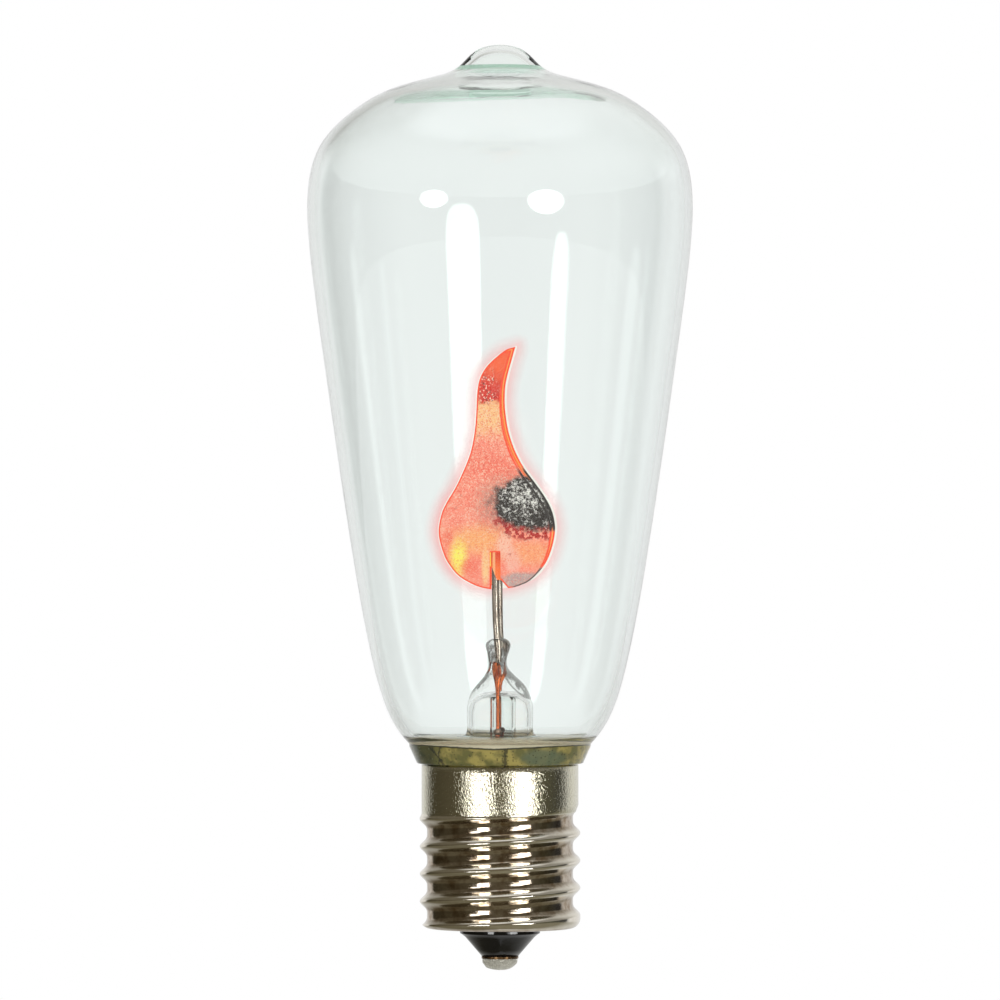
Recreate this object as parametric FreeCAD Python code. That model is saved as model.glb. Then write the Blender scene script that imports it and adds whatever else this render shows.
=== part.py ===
import FreeCAD, Part
import math
import os

# Flicker flame bulb: a clear pear-shaped glass lamp with two flame-shaped metal plates in neon
# gas, on a small screw cap. Millimetres. Z runs up the bulb's axis from the lowest point of the
# cap's centre contact. The plates face -Y.

V = FreeCAD.Vector

# Cap: intermediate screw size, nine turns to the inch.
THREAD_PITCH = 25.4 / 9
THREAD_CREST_R = 8.28
THREAD_DEPTH = 0.76
THREAD_PHASE_Z = 14.05
THREAD_TOP_FADE = (0.2, 1.5)
THREAD_END_FADE = (-7.65 * math.pi, -7.15 * math.pi)
SKIRT_R = 8.08
SKIRT_LOW_Z = 16.2
SHELL_SHEET = 0.3
SHELL_TOP_Z = 20.72
SHELL_FLOOR_Z = 4.3
SHELL_CORNER_R = 1.05
SHELL_HOLE_R = 4.0

# Centre contact and its black glass insulator.
SOLDER_R = 1.82
SOLDER_H = 1.2
EYELET_RIM_R = 1.9
EYELET_RIM_T = 0.22
EYELET_NECK_R = 0.8
EYELET_NECK_H = 1.7
INSULATOR_LIP_R = 4.14
INSULATOR_LIP_H = 0.4
INSULATOR_INNER_R = 6.4
INSULATOR_INNER_H = 1.7

# Glass envelope.
ENVELOPE_TOP_Z = 95.3
ENVELOPE_R = 19.8
GLASS_WALL = 0.8
SEAL_Z = 23.3
SEAL_R = 9.37
COLLAR_FOOT_R = 8.62
COLLAR_FOOT_Z = 20.85
NECK_R = 7.5
NECK_FOOT_Z = 18.3
CROWN_RING_Z = 89.95
CROWN_RING_T = 1.2
CROWN_RING_HOLE_R = 3.2
CROWN_RING_TILT = 2.5
VIEW_TURN = 10.7

# Stem: flared tube, pressed head, exhaust tube.
STEM_TUBE_R = 3.4
STEM_TUBE_WALL = 0.55
FLARE_T = 0.75
FLARE_LIFT = 0.45
FLARE_TOP_Z = 26.5
FLARE_BEND_H = 0.95
PRESS_H = 7.8
EXHAUST_R = 1.33
EXHAUST_WALL = 0.38
EXHAUST_X = 0.29
EXHAUST_TIP_Z = 15.1

# Flame plates and the wires that carry them.
PLATE_T = 0.25
PLATE_GAP = 2.0
PLATE_WIDTH = 11.78
PLATE_HEIGHT = 24.6
PLATE_FOOT_Z = 39.26
REAR_PLATE_RISE = 0.36
WIRE_X = -0.298
WIRE_R = 0.365
WIRE_REACH = 3.59
STRAP_T = 0.2
STRAP_REACH = 3.79
NOTCH_H = 0.96
STRAP_SLANT_H = 1.4
SEAL_WIRE_R = 0.175
SEAL_SPREAD = 1.86
LEAD_R = 0.25
LEAD_BEND_H = 3.3
KNOT_R = 0.42
KNOT_Z = 24.5
SIDE_WELD_Z = 16.8

# Series resistor inside the cap.
RESISTOR_TOP_Z = 13.7
RESISTOR_LENGTH = 6.4
RESISTOR_ROD_R = 1.05
RESISTOR_CAP_T = 0.2
RESISTOR_CAP_L = 1.3

CEMENT_FOOT_Z = 17.5
CEMENT_BORE_R = 3.2
CEMENT_CLEARANCE = 0.03

# Outline of the blown glass from seal to tip: fractions of the full radius and of the height.
GLASS_POLES = [
    (0.548, 0.021), (0.635, 0.067), (0.765, 0.256), (0.904, 0.522), (0.978, 0.670),
    (0.999, 0.729), (1.009, 0.785), (0.966, 0.859), (0.745, 0.913), (0.574, 0.939),
    (0.325, 0.955), (0.196, 0.966), (0.124, 1.0),
]

# Pressed head and the end of its bore: X and Y half widths as fractions of the tube's radius,
# and how far up the head, as a fraction of its height.
PRESS_SECTIONS = [
    (0.994, 0.997, 0.09), (0.876, 0.971, 0.256), (0.632, 0.926, 0.41), (0.353, 0.868, 0.564),
    (0.253, 0.809, 0.679), (0.324, 0.794, 0.782), (0.376, 0.779, 0.872), (0.324, 0.735, 0.949),
    (0.162, 0.618, 1.0),
]
BORE_SECTIONS = [(0.947, 0.965, 0.128), (0.737, 0.825, 0.218), (0.351, 0.561, 0.288)]

# Flame outline: across from the wire and up from the foot, as fractions of width and height.
FLAME_LEFT = [
    (0.145, 1.0), (0.073, 0.989), (-0.004, 0.964), (-0.083, 0.925), (-0.135, 0.881),
    (-0.157, 0.827), (-0.165, 0.752), (-0.174, 0.688), (-0.192, 0.629), (-0.219, 0.57),
    (-0.266, 0.511), (-0.345, 0.431), (-0.424, 0.367), (-0.475, 0.317), (-0.503, 0.253),
    (-0.492, 0.199), (-0.447, 0.135), (-0.39, 0.091), (-0.322, 0.055), (-0.209, 0.023),
    (-0.118, 0.007), (-0.036, 0.0),
]
FLAME_RIGHT = [
    (0.115, 0.005), (0.177, 0.01), (0.286, 0.031), (0.366, 0.064), (0.429, 0.108),
    (0.475, 0.167), (0.497, 0.229), (0.489, 0.28), (0.455, 0.33), (0.395, 0.38),
    (0.315, 0.433), (0.224, 0.491), (0.145, 0.56), (0.089, 0.636), (0.06, 0.707),
    (0.049, 0.77), (0.055, 0.835), (0.077, 0.887), (0.112, 0.946), (0.145, 1.0),
]


def save(shape, name):
    """Write one piece as a STEP file."""
    solids = shape.Solids
    if len(solids) != 1 or not shape.isValid():
        raise ValueError(f"{name}: {len(solids)} solids, valid {shape.isValid()}")
    solids[0].exportStep(f"parts/{name}.step")


def revolve(edges):
    """Turn a closed outline in the XZ plane all round the bulb's axis."""
    face = Part.Face(Part.Wire(edges))
    return face.revolve(V(0, 0, 0), V(0, 0, 1), 360)


def lines(points):
    """Straight edges through (radius, height) points in the XZ plane."""
    vectors = [V(r, 0, z) for r, z in points]
    return [Part.makeLine(a, b) for a, b in zip(vectors, vectors[1:])]


def smooth(points, start=None, end=None):
    """One spline edge through (radius, height) points, with optional end directions."""
    curve = Part.BSplineCurve()
    vectors = [V(r, 0, z) for r, z in points]
    if start and end:
        curve.interpolate(Points=vectors, InitialTangent=V(start[0], 0, start[1]),
                          FinalTangent=V(end[0], 0, end[1]))
    else:
        curve.interpolate(Points=vectors)
    return curve.toShape()


def turned(points):
    """Solid of revolution from a closed polygon of (radius, height) points."""
    return revolve(lines(points + points[:1]))


def wire_along(points, radius):
    """Round wire that follows a smooth path through the given points."""
    curve = Part.BSplineCurve()
    curve.interpolate([V(*p) for p in points])
    spine = Part.Wire(curve.toShape())
    start = curve.value(curve.FirstParameter)
    along = curve.tangent(curve.FirstParameter)[0]
    section = Part.Wire(Part.makeCircle(radius, start, along))
    return spine.makePipeShell([section], True, True)


def oval(x_radius, y_radius, z):
    """Closed oval section at a height, its first point on the Y axis."""
    centre = V(0, 0, z)
    if abs(x_radius - y_radius) < 1e-6:
        circle = Part.makeCircle(x_radius, centre, V(0, 0, 1))
        circle.rotate(centre, V(0, 0, 1), 90)
        return Part.Wire(circle)
    return Part.Wire(Part.Ellipse(V(0, y_radius, z), V(x_radius, 0, z), centre).toShape())


# Glass envelope

def glass_curve():
    """Outer outline of the blown glass, from the seal up to the tip."""
    height = ENVELOPE_TOP_Z - SEAL_Z
    poles = [V(SEAL_R, 0, SEAL_Z)]
    poles += [V(r * ENVELOPE_R, 0, SEAL_Z + h * height) for r, h in GLASS_POLES]
    poles.append(V(0, 0, ENVELOPE_TOP_Z))
    spans = len(poles) - 3
    mults = [4] + [1] * (spans - 1) + [4]
    curve = Part.BSplineCurve()
    curve.buildFromPolesMultsKnots(poles, mults, list(range(spans + 1)), False, 3)
    return curve


def inner_glass_points(curve, low_z):
    """Points one wall thickness inside the outer outline."""
    points = []
    first, last = curve.FirstParameter, curve.LastParameter
    for step in range(49):
        at = first + (last - first) * step / 48
        point = curve.value(at)
        along = curve.tangent(at)[0]
        inward = V(-along.z, 0, along.x)
        moved = point + inward * GLASS_WALL
        if moved.z > low_z and moved.x > 0.25:
            points.append((moved.x, moved.z))
    points.append((0, ENVELOPE_TOP_Z - GLASS_WALL))
    return points


def flare_rim_r():
    """Radius where the flare melts into the envelope's wall."""
    return SEAL_R - GLASS_WALL - 0.1


def make_envelope():
    """Blown glass with its closed tip, the ring of thick glass in the crown and the neck."""
    curve = glass_curve()
    outside = [
        curve.toShape(),
        *lines([(0, ENVELOPE_TOP_Z), (0, NECK_FOOT_Z), (NECK_R - 0.12, NECK_FOOT_Z),
                (NECK_R, NECK_FOOT_Z + 0.5), (NECK_R, COLLAR_FOOT_Z),
                (COLLAR_FOOT_R - 0.2, COLLAR_FOOT_Z), (COLLAR_FOOT_R, COLLAR_FOOT_Z + 0.15),
                (SEAL_R - 0.02, SEAL_Z - 0.35), (SEAL_R, SEAL_Z)]),
    ]
    body = revolve(outside)
    rim_r = flare_rim_r()
    seat_top = SEAL_Z + FLARE_LIFT
    inner = inner_glass_points(curve, seat_top + 0.3)
    hollow = revolve([
        *lines([(0, seat_top), (rim_r, seat_top)]),
        smooth([(rim_r, seat_top)] + inner),
        *lines([(0, ENVELOPE_TOP_Z - GLASS_WALL), (0, seat_top)]),
    ])
    under_z = seat_top - FLARE_T
    neck_inner = NECK_R - GLASS_WALL
    mouth = turned([(0, NECK_FOOT_Z), (neck_inner, NECK_FOOT_Z), (neck_inner, COLLAR_FOOT_Z),
                    (rim_r - 0.35, under_z - 0.6), (rim_r, under_z), (rim_r, seat_top),
                    (0, seat_top)])
    ring = Part.makeCylinder(ENVELOPE_R, CROWN_RING_T, V(0, 0, -CROWN_RING_T / 2))
    ring = ring.cut(Part.makeCylinder(CROWN_RING_HOLE_R, 3 * CROWN_RING_T,
                                      V(0, 0, -1.5 * CROWN_RING_T)))
    ring.rotate(V(0, 0, 0), V(0, 1, 0), -CROWN_RING_TILT)
    ring.rotate(V(0, 0, 0), V(0, 0, 1), VIEW_TURN)
    ring.translate(V(0, 0, CROWN_RING_Z))
    ring = ring.common(body)
    glass = body.cut(hollow).cut(mouth).fuse(ring)
    return glass.removeSplitter()


# Stem

def head_z(share):
    """Height of a place in the pressed head, from its share of the head's height."""
    return FLARE_TOP_Z + share * PRESS_H


def make_stem_block():
    """Flare, tube and pressed head before the wires and the exhaust hole go through it."""
    rim_r = flare_rim_r()
    rim_top = SEAL_Z + FLARE_LIFT
    rim_low = rim_top - FLARE_T
    bend = FLARE_BEND_H
    bore_r = STEM_TUBE_R - STEM_TUBE_WALL
    flare = revolve([
        *lines([(0, FLARE_TOP_Z), (STEM_TUBE_R, FLARE_TOP_Z), (STEM_TUBE_R, rim_top + bend)]),
        smooth([(STEM_TUBE_R, rim_top + bend), (STEM_TUBE_R + bend * 0.3, rim_top + bend * 0.34),
                (STEM_TUBE_R + bend * 1.2, rim_top + bend * 0.06), (rim_r, rim_top)],
               (0, -1), (1, 0)),
        *lines([(rim_r, rim_top), (rim_r, rim_low), (0, rim_low), (0, FLARE_TOP_Z)]),
    ])
    mouth = revolve([
        smooth([(rim_r, rim_low), (STEM_TUBE_R + bend, rim_low + bend * 0.05),
                (bore_r + bend * 0.35, rim_low + bend * 0.33), (bore_r, rim_low + bend)],
               (-1, 0), (0, 1)),
        *lines([(bore_r, rim_low + bend), (bore_r, FLARE_TOP_Z), (0, FLARE_TOP_Z), (0, rim_low),
                (rim_r, rim_low)]),
    ])
    tube = STEM_TUBE_R
    outer = [(tube, tube, FLARE_TOP_Z)]
    outer += [(tube * x, tube * y, head_z(h)) for x, y, h in PRESS_SECTIONS]
    inner = [(bore_r, bore_r, FLARE_TOP_Z)]
    inner += [(bore_r * x, bore_r * y, head_z(h)) for x, y, h in BORE_SECTIONS]
    head = Part.makeLoft([oval(*section) for section in outer], True, False)
    hollow = Part.makeLoft([oval(*section) for section in inner], True, False)
    return flare.fuse(head).cut(mouth.fuse(hollow)), head


def make_blow_hole():
    """Hole from the exhaust tube out through the right shoulder, and its raised lip."""
    start = V(EXHAUST_X + 0.3, 0, head_z(0.272))
    end = V(STEM_TUBE_R * 0.97, 0, head_z(0.186))
    along = end - start
    lip_centre = start + along * 0.8
    lip = Part.makeSphere(0.62, lip_centre)
    hole = Part.makeCylinder(0.24, along.Length, start, along)
    return lip, hole


def make_exhaust(stem):
    """Thin tube through which the bulb was pumped and filled, melted shut below."""
    top = head_z(0.372)
    tube = revolve([
        *lines([(0, top), (0, EXHAUST_TIP_Z)]),
        smooth([(0, EXHAUST_TIP_Z), (0.45, EXHAUST_TIP_Z + 0.18),
                (EXHAUST_R * 0.8, EXHAUST_TIP_Z + 1.2), (EXHAUST_R, EXHAUST_TIP_Z + 2.4)],
               (1, 0), (0, 1)),
        *lines([(EXHAUST_R, EXHAUST_TIP_Z + 2.4), (EXHAUST_R, top), (0, top)]),
    ])
    bore_r = EXHAUST_R - EXHAUST_WALL
    bore = turned([(0, EXHAUST_TIP_Z + 1.4), (bore_r * 0.6, EXHAUST_TIP_Z + 1.7),
                   (bore_r, EXHAUST_TIP_Z + 2.9), (bore_r, top + 0.2), (0, top + 0.2)])
    tube = tube.cut(bore)
    tube.translate(V(EXHAUST_X, 0, 0))
    tube = tube.cut(stem)
    return max(tube.Solids, key=lambda solid: solid.Volume)


# Flame plates

def flame_points(table):
    """Outline points of a plate from its table of fractions."""
    return [(WIRE_X + x * PLATE_WIDTH, PLATE_FOOT_Z + z * PLATE_HEIGHT) for x, z in table]


def make_plate():
    """Flame plate with a slit from below and a half-round strap lanced over its wire."""
    left = flame_points(FLAME_LEFT)
    right = flame_points(FLAME_RIGHT)
    slot_left = WIRE_X - WIRE_R - 0.06
    slot_right = WIRE_X + WIRE_R + 0.05
    notch_z = PLATE_FOOT_Z + NOTCH_H
    strap_top = PLATE_FOOT_Z + STRAP_REACH
    left[-1] = (slot_left, PLATE_FOOT_Z)
    outline = [
        smooth(left),
        *lines([(slot_left, PLATE_FOOT_Z), (slot_left, strap_top), (slot_right, strap_top),
                (slot_right, notch_z), (slot_right + 0.2, notch_z), right[0]]),
        smooth(right),
    ]
    face = Part.Face(Part.Wire(outline))
    plate = face.extrude(V(0, PLATE_T, 0))
    plate.translate(V(0, -PLATE_T / 2, 0))
    strap_r = WIRE_R + STRAP_T
    strap_h = strap_top - notch_z
    strap = Part.makeCylinder(strap_r, strap_h, V(WIRE_X, 0, notch_z))
    clear = 3 * strap_r
    strap = strap.cut(Part.makeBox(2 * clear, clear, 2 * strap_h,
                                   V(WIRE_X - clear, -PLATE_T / 2 + 0.05, notch_z - strap_h / 2)))
    slant_low = notch_z - STRAP_SLANT_H * 0.36
    slant = Part.Face(Part.makePolygon([
        V(WIRE_X - clear, -clear, slant_low), V(WIRE_X + strap_r * 0.8, -clear, slant_low),
        V(WIRE_X - strap_r * 0.53, -clear, notch_z + STRAP_SLANT_H),
        V(WIRE_X - clear, -clear, notch_z + STRAP_SLANT_H),
        V(WIRE_X - clear, -clear, slant_low)])).extrude(V(0, clear - PLATE_T * 0.4, 0))
    strap = strap.cut(slant)
    plate = plate.fuse(strap)
    return plate.removeSplitter()


def place_plates(plate, wires):
    """Front plate, and the rear plate as its mirror image set slightly higher."""
    front = plate.copy()
    front.translate(V(0, -PLATE_GAP / 2, 0))
    rear = plate.mirror(V(0, 0, 0), V(0, 1, 0))
    rear.translate(V(0, PLATE_GAP / 2, REAR_PLATE_RISE))
    return front.cut(wires["front_support_wire"]), rear.cut(wires["rear_support_wire"])


# Wires

def make_wires():
    """Both support wires, both seal wires and the two leads with their weld knots."""
    half = PLATE_GAP / 2
    joint_z = head_z(0.68)
    wires = {}
    knots = {}
    for name, side, rise, foot_x in (("front", -1, 0.0, 0.11), ("rear", 1, REAR_PLATE_RISE, -0.19)):
        top = PLATE_FOOT_Z + WIRE_REACH + rise
        spread = side * SEAL_SPREAD
        wires[f"{name}_support_wire"] = wire_along([
            (WIRE_X, side * half, top), (WIRE_X, side * half, top - WIRE_REACH * 0.42),
            (WIRE_X, side * half, top - WIRE_REACH * 0.84),
            (WIRE_X + 0.02, side * half * 1.01, PLATE_FOOT_Z - 1.26),
            ((WIRE_X + foot_x) / 2, side * half * 1.22, joint_z + 3.0),
            (foot_x, spread * 0.87, joint_z + 0.7), (foot_x, spread * 0.9, joint_z)], WIRE_R)
        wires[f"{name}_seal_wire"] = wire_along([
            (foot_x, spread * 0.9, joint_z), (foot_x, spread * 0.95, head_z(0.385)),
            (foot_x, spread, head_z(0.064)), (foot_x, spread, KNOT_Z)], SEAL_WIRE_R)
        knots[name] = V(foot_x, spread, KNOT_Z)
    shell_in = SKIRT_R - SHELL_SHEET
    front_at = knots["front"]
    rear_at = knots["rear"]
    weld_at = V(0, -shell_in + 0.45, SIDE_WELD_Z)
    wires["side_lead_wire"] = wire_along([
        tuple(front_at), (front_at.x, -SEAL_SPREAD - 0.14, KNOT_Z - 1.9),
        (front_at.x, -SEAL_SPREAD - 0.49, SHELL_TOP_Z - 1.22),
        (front_at.x, -SEAL_SPREAD - 1.04, SIDE_WELD_Z + 0.6),
        (front_at.x, weld_at.y * 0.628, SIDE_WELD_Z - 0.05),
        (0.05, weld_at.y * 0.873, SIDE_WELD_Z), tuple(weld_at)], LEAD_R)
    wires["centre_lead_wire"] = wire_along([
        tuple(rear_at), (rear_at.x, SEAL_SPREAD + 0.14, KNOT_Z - 1.9),
        (rear_at.x, SEAL_SPREAD + 0.19, SHELL_TOP_Z - 1.22),
        (rear_at.x, SEAL_SPREAD + 0.04, RESISTOR_TOP_Z + LEAD_BEND_H),
        (-0.05, SEAL_SPREAD * 0.59, RESISTOR_TOP_Z + LEAD_BEND_H * 0.424),
        (0, SEAL_SPREAD * 0.054, RESISTOR_TOP_Z + LEAD_BEND_H * 0.197),
        (0, 0, RESISTOR_TOP_Z)], LEAD_R)
    wires["tip_lead_wire"] = Part.makeCylinder(
        LEAD_R, RESISTOR_TOP_Z - RESISTOR_LENGTH - 0.6, V(0, 0, 0.6))
    side_weld = Part.makeCylinder(0.55, 0.45, weld_at, V(0, -1, 0))
    side_weld = side_weld.fuse(Part.makeSphere(KNOT_R, weld_at + V(0, 0.05, 0)))
    side_weld = side_weld.common(Part.makeCylinder(shell_in, 6 * KNOT_R,
                                                   V(0, 0, SIDE_WELD_Z - 3 * KNOT_R)))
    wires["side_weld"] = side_weld.cut(wires["side_lead_wire"])
    for name, lead in (("front", "side_lead_wire"), ("rear", "centre_lead_wire")):
        seal = wires[f"{name}_seal_wire"]
        wires[lead] = wires[lead].cut(seal)
        wires[f"{name}_weld_knot"] = Part.makeSphere(KNOT_R, knots[name]).cut(seal).cut(wires[lead])
        wires[f"{name}_seal_wire"] = seal.cut(wires[f"{name}_support_wire"])
    return wires


def make_resistor():
    """Ceramic rod with a pressed metal cup on each end."""
    low = RESISTOR_TOP_Z - RESISTOR_LENGTH
    cup_r = RESISTOR_ROD_R + RESISTOR_CAP_T
    rod = Part.makeCylinder(RESISTOR_ROD_R, RESISTOR_LENGTH - 2 * RESISTOR_CAP_T,
                            V(0, 0, low + RESISTOR_CAP_T))
    cups = {}
    for name, z in (("lower", low), ("upper", RESISTOR_TOP_Z - RESISTOR_CAP_L)):
        cup = Part.makeCylinder(cup_r, RESISTOR_CAP_L, V(0, 0, z))
        ends = [edge for edge in cup.Edges
                if abs(edge.CenterOfMass.z - (low if name == "lower" else RESISTOR_TOP_Z)) < 1e-6]
        cups[name] = cup.makeFillet(0.18, ends).cut(rod)
    return rod, cups["upper"], cups["lower"]


# Cap

def thread_radius(angle, z, crest_r):
    """Radius of the rolled thread at an angle and a height."""
    turns = (z - THREAD_PHASE_Z) / THREAD_PITCH - angle / (2 * math.pi)
    below = math.floor(turns)
    across = turns - below
    along = angle + 2 * math.pi * below
    top_start, top_end = THREAD_TOP_FADE
    foot_end, foot_start = THREAD_END_FADE
    fade = 1.0 - step(along, top_start, top_end)
    fade *= step(along, foot_end, foot_start)
    groove = 1.0 - abs(math.cos(math.pi * across)) ** 4
    return crest_r - THREAD_DEPTH * groove * fade


def step(value, low, high):
    """Smooth step from 0 at low to 1 at high."""
    t = min(1.0, max(0.0, (value - low) / (high - low)))
    return t * t * (3 - 2 * t)


def threaded_core(crest_r):
    """Solid whose side wall is the rolled thread, plane at both ends."""
    around = 48
    low, high = SHELL_FLOOR_Z - 0.8, SHELL_TOP_Z + 0.8
    up = int((high - low) / (THREAD_PITCH / 18))
    widen = 1.0 / (2.0 / 3.0 + math.cos(2 * math.pi / around) / 3.0)
    poles = []
    for i in range(around):
        angle = 2 * math.pi * i / around
        column = []
        for j in range(up + 1):
            z = low + (high - low) * j / up
            r = thread_radius(angle, z, crest_r) * widen
            column.append(V(r * math.cos(angle), r * math.sin(angle), z))
        poles.append(column)
    spans = up + 1 - 3
    surface = Part.BSplineSurface()
    surface.buildFromPolesMultsKnots(
        poles, [1] * (around + 1), [4] + [1] * (spans - 1) + [4],
        list(range(around + 1)), list(range(spans + 1)), True, False, 3, 3)
    wall = surface.toShape()
    ends = [Part.Face(Part.Wire([edge])) for edge in wall.Edges
            if edge.BoundBox.ZLength < 1e-6]
    core = Part.makeSolid(Part.makeShell([wall] + ends))
    core.fix(1e-5, 1e-6, 1e-4)
    return core


def shell_outline(inset):
    """Turned outline of the cap, moved inwards by the given sheet thickness."""
    skirt_r = SKIRT_R - inset
    wide_r = THREAD_CREST_R + 0.3 - inset
    corner_r = THREAD_CREST_R - inset
    floor_z = SHELL_FLOOR_Z + inset
    bend = SHELL_CORNER_R - inset
    arc = Part.Arc(V(corner_r - bend, 0, floor_z),
                   V(corner_r - bend * (1 - math.sqrt(0.5)), 0,
                     floor_z + bend * (1 - math.sqrt(0.5))),
                   V(corner_r, 0, floor_z + bend)).toShape()
    top = SHELL_TOP_Z if inset == 0 else SHELL_TOP_Z + 1
    return revolve([
        *lines([(0, floor_z), (corner_r - bend, floor_z)]),
        arc,
        *lines([(corner_r, floor_z + bend), (wide_r, floor_z + bend + 0.4),
                (wide_r, SKIRT_LOW_Z - 1.1)]),
        smooth([(wide_r, SKIRT_LOW_Z - 1.1), (skirt_r + 0.22, SKIRT_LOW_Z - 0.55),
                (skirt_r, SKIRT_LOW_Z)], (-0.4, 1), (0, 1)),
        *lines([(skirt_r, SKIRT_LOW_Z), (skirt_r, top), (0, top), (0, floor_z)]),
    ])


def make_screw_shell():
    """Pressed cap of thin sheet: plain skirt, rolled thread and turned-in floor."""
    outside = shell_outline(0).common(threaded_core(THREAD_CREST_R))
    inside = shell_outline(SHELL_SHEET).common(threaded_core(THREAD_CREST_R - SHELL_SHEET))
    hole = Part.makeCylinder(SHELL_HOLE_R, 3, V(0, 0, SHELL_FLOOR_Z - 1))
    return outside.cut(inside).cut(hole)


def make_insulator():
    """Black glass set in the cap's floor, coned down to the centre contact."""
    rim_top = SOLDER_H + EYELET_RIM_T
    lip_z = SHELL_FLOOR_Z - INSULATOR_LIP_H
    inner_top = SHELL_FLOOR_Z + SHELL_SHEET + INSULATOR_INNER_H
    return turned([
        (EYELET_NECK_R, rim_top), (EYELET_RIM_R, rim_top), (INSULATOR_LIP_R - 0.12, lip_z - 0.08),
        (INSULATOR_LIP_R, lip_z), (INSULATOR_LIP_R, SHELL_FLOOR_Z), (SHELL_HOLE_R, SHELL_FLOOR_Z),
        (SHELL_HOLE_R, SHELL_FLOOR_Z + SHELL_SHEET),
        (INSULATOR_INNER_R, SHELL_FLOOR_Z + SHELL_SHEET),
        (INSULATOR_INNER_R, SHELL_FLOOR_Z + SHELL_SHEET + 0.6),
        (INSULATOR_INNER_R * 0.6, inner_top), (EYELET_NECK_R, inner_top)])


def make_eyelet():
    """Brass eyelet: flat rim under the insulator and a short neck up its bore."""
    return turned([
        (LEAD_R, SOLDER_H), (EYELET_RIM_R, SOLDER_H), (EYELET_RIM_R, SOLDER_H + EYELET_RIM_T),
        (EYELET_NECK_R, SOLDER_H + EYELET_RIM_T),
        (EYELET_NECK_R, SOLDER_H + EYELET_RIM_T + EYELET_NECK_H),
        (LEAD_R, SOLDER_H + EYELET_RIM_T + EYELET_NECK_H)])


def make_tip_solder(lead):
    """Domed drop of solder that closes the eyelet and makes the centre contact."""
    dome = revolve([
        smooth([(SOLDER_R, SOLDER_H), (SOLDER_R * 0.985, SOLDER_H * 0.6),
                (SOLDER_R * 0.74, SOLDER_H * 0.2), (SOLDER_R * 0.3, SOLDER_H * 0.02), (0, 0)],
               (0.02, -1), (-1, 0)),
        *lines([(0, 0), (0, SOLDER_H), (SOLDER_R, SOLDER_H)]),
    ])
    return dome.cut(lead)


def make_cement(envelope):
    """Basing cement between cap and neck and up under the flare."""
    gap = CEMENT_CLEARANCE
    shell_in = SKIRT_R - SHELL_SHEET
    under_z = SEAL_Z + FLARE_LIFT - FLARE_T - gap
    rim_r = flare_rim_r()
    block = turned([
        (CEMENT_BORE_R + 0.5, CEMENT_FOOT_Z), (shell_in, CEMENT_FOOT_Z),
        (shell_in, SHELL_TOP_Z - 0.15), (NECK_R - GLASS_WALL / 2, SHELL_TOP_Z - 0.15),
        (rim_r, COLLAR_FOOT_Z + 1.2), (rim_r, under_z),
        (STEM_TUBE_R + 1.0, under_z), (STEM_TUBE_R + 0.4, under_z + 0.1),
        (CEMENT_BORE_R + 0.2, under_z - 0.6)])
    block = block.cut(envelope)
    return max(block.Solids, key=lambda solid: solid.Volume)


def main():
    """Build every piece and write its file."""
    os.makedirs("parts", exist_ok=True)
    envelope = make_envelope()
    save(envelope, "glass_envelope")

    wires = make_wires()
    stem, head = make_stem_block()
    lip, hole = make_blow_hole()
    stem = stem.fuse(lip.cut(head)).cut(hole)
    for name in ("front", "rear"):
        stem = stem.cut(wires[f"{name}_support_wire"]).cut(wires[f"{name}_seal_wire"])
    save(stem, "glass_stem")
    exhaust = make_exhaust(stem).cut(hole)
    save(exhaust, "exhaust_tube")

    front, rear = place_plates(make_plate(), wires)
    save(front, "front_flame_plate")
    save(rear, "rear_flame_plate")

    rod, upper, lower = make_resistor()
    wires["centre_lead_wire"] = wires["centre_lead_wire"].cut(upper)
    save(rod, "resistor_rod")
    save(upper, "resistor_upper_cup")
    save(lower, "resistor_lower_cup")
    for name, wire in wires.items():
        save(wire, name)

    save(make_screw_shell(), "screw_shell")
    save(make_insulator(), "base_insulator")
    save(make_eyelet(), "contact_eyelet")
    save(make_tip_solder(wires["tip_lead_wire"]), "tip_solder")
    save(make_cement(envelope), "basing_cement")


main()
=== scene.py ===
"""Flicker flame bulb: blown glass, two glowing flame plates on a pressed stem, small screw cap."""
import logging
import math
from dataclasses import dataclass
from enum import Enum

import bmesh
import bpy
import numpy as np
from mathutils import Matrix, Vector
from mathutils.geometry import delaunay_2d_cdt


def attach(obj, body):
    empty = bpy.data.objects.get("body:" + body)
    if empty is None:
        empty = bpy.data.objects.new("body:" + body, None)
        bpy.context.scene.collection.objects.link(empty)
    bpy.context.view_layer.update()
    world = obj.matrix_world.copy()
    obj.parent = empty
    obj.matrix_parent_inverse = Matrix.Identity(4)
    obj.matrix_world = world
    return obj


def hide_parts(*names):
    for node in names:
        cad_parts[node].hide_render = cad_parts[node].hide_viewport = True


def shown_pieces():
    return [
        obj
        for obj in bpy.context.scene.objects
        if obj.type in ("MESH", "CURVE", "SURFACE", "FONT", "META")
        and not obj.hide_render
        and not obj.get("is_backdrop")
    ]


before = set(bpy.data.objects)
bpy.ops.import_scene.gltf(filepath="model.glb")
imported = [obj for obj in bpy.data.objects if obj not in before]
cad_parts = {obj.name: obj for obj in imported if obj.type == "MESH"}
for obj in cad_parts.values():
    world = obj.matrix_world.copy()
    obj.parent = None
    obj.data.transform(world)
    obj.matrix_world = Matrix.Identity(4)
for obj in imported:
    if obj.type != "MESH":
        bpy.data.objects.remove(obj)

LOG = logging.getLogger("flame_bulb")
MM = 0.001
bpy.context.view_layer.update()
AROUND = 192
COLLAR_LIFT = 0.43

Colour = tuple[float, float, float]
Outline = list[tuple[float, float]]
Table = tuple[tuple[float, ...], ...]
Stops = tuple[tuple[float, Colour], ...]
Socket = bpy.types.NodeSocket
Feed = Socket | float | Colour


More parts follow.
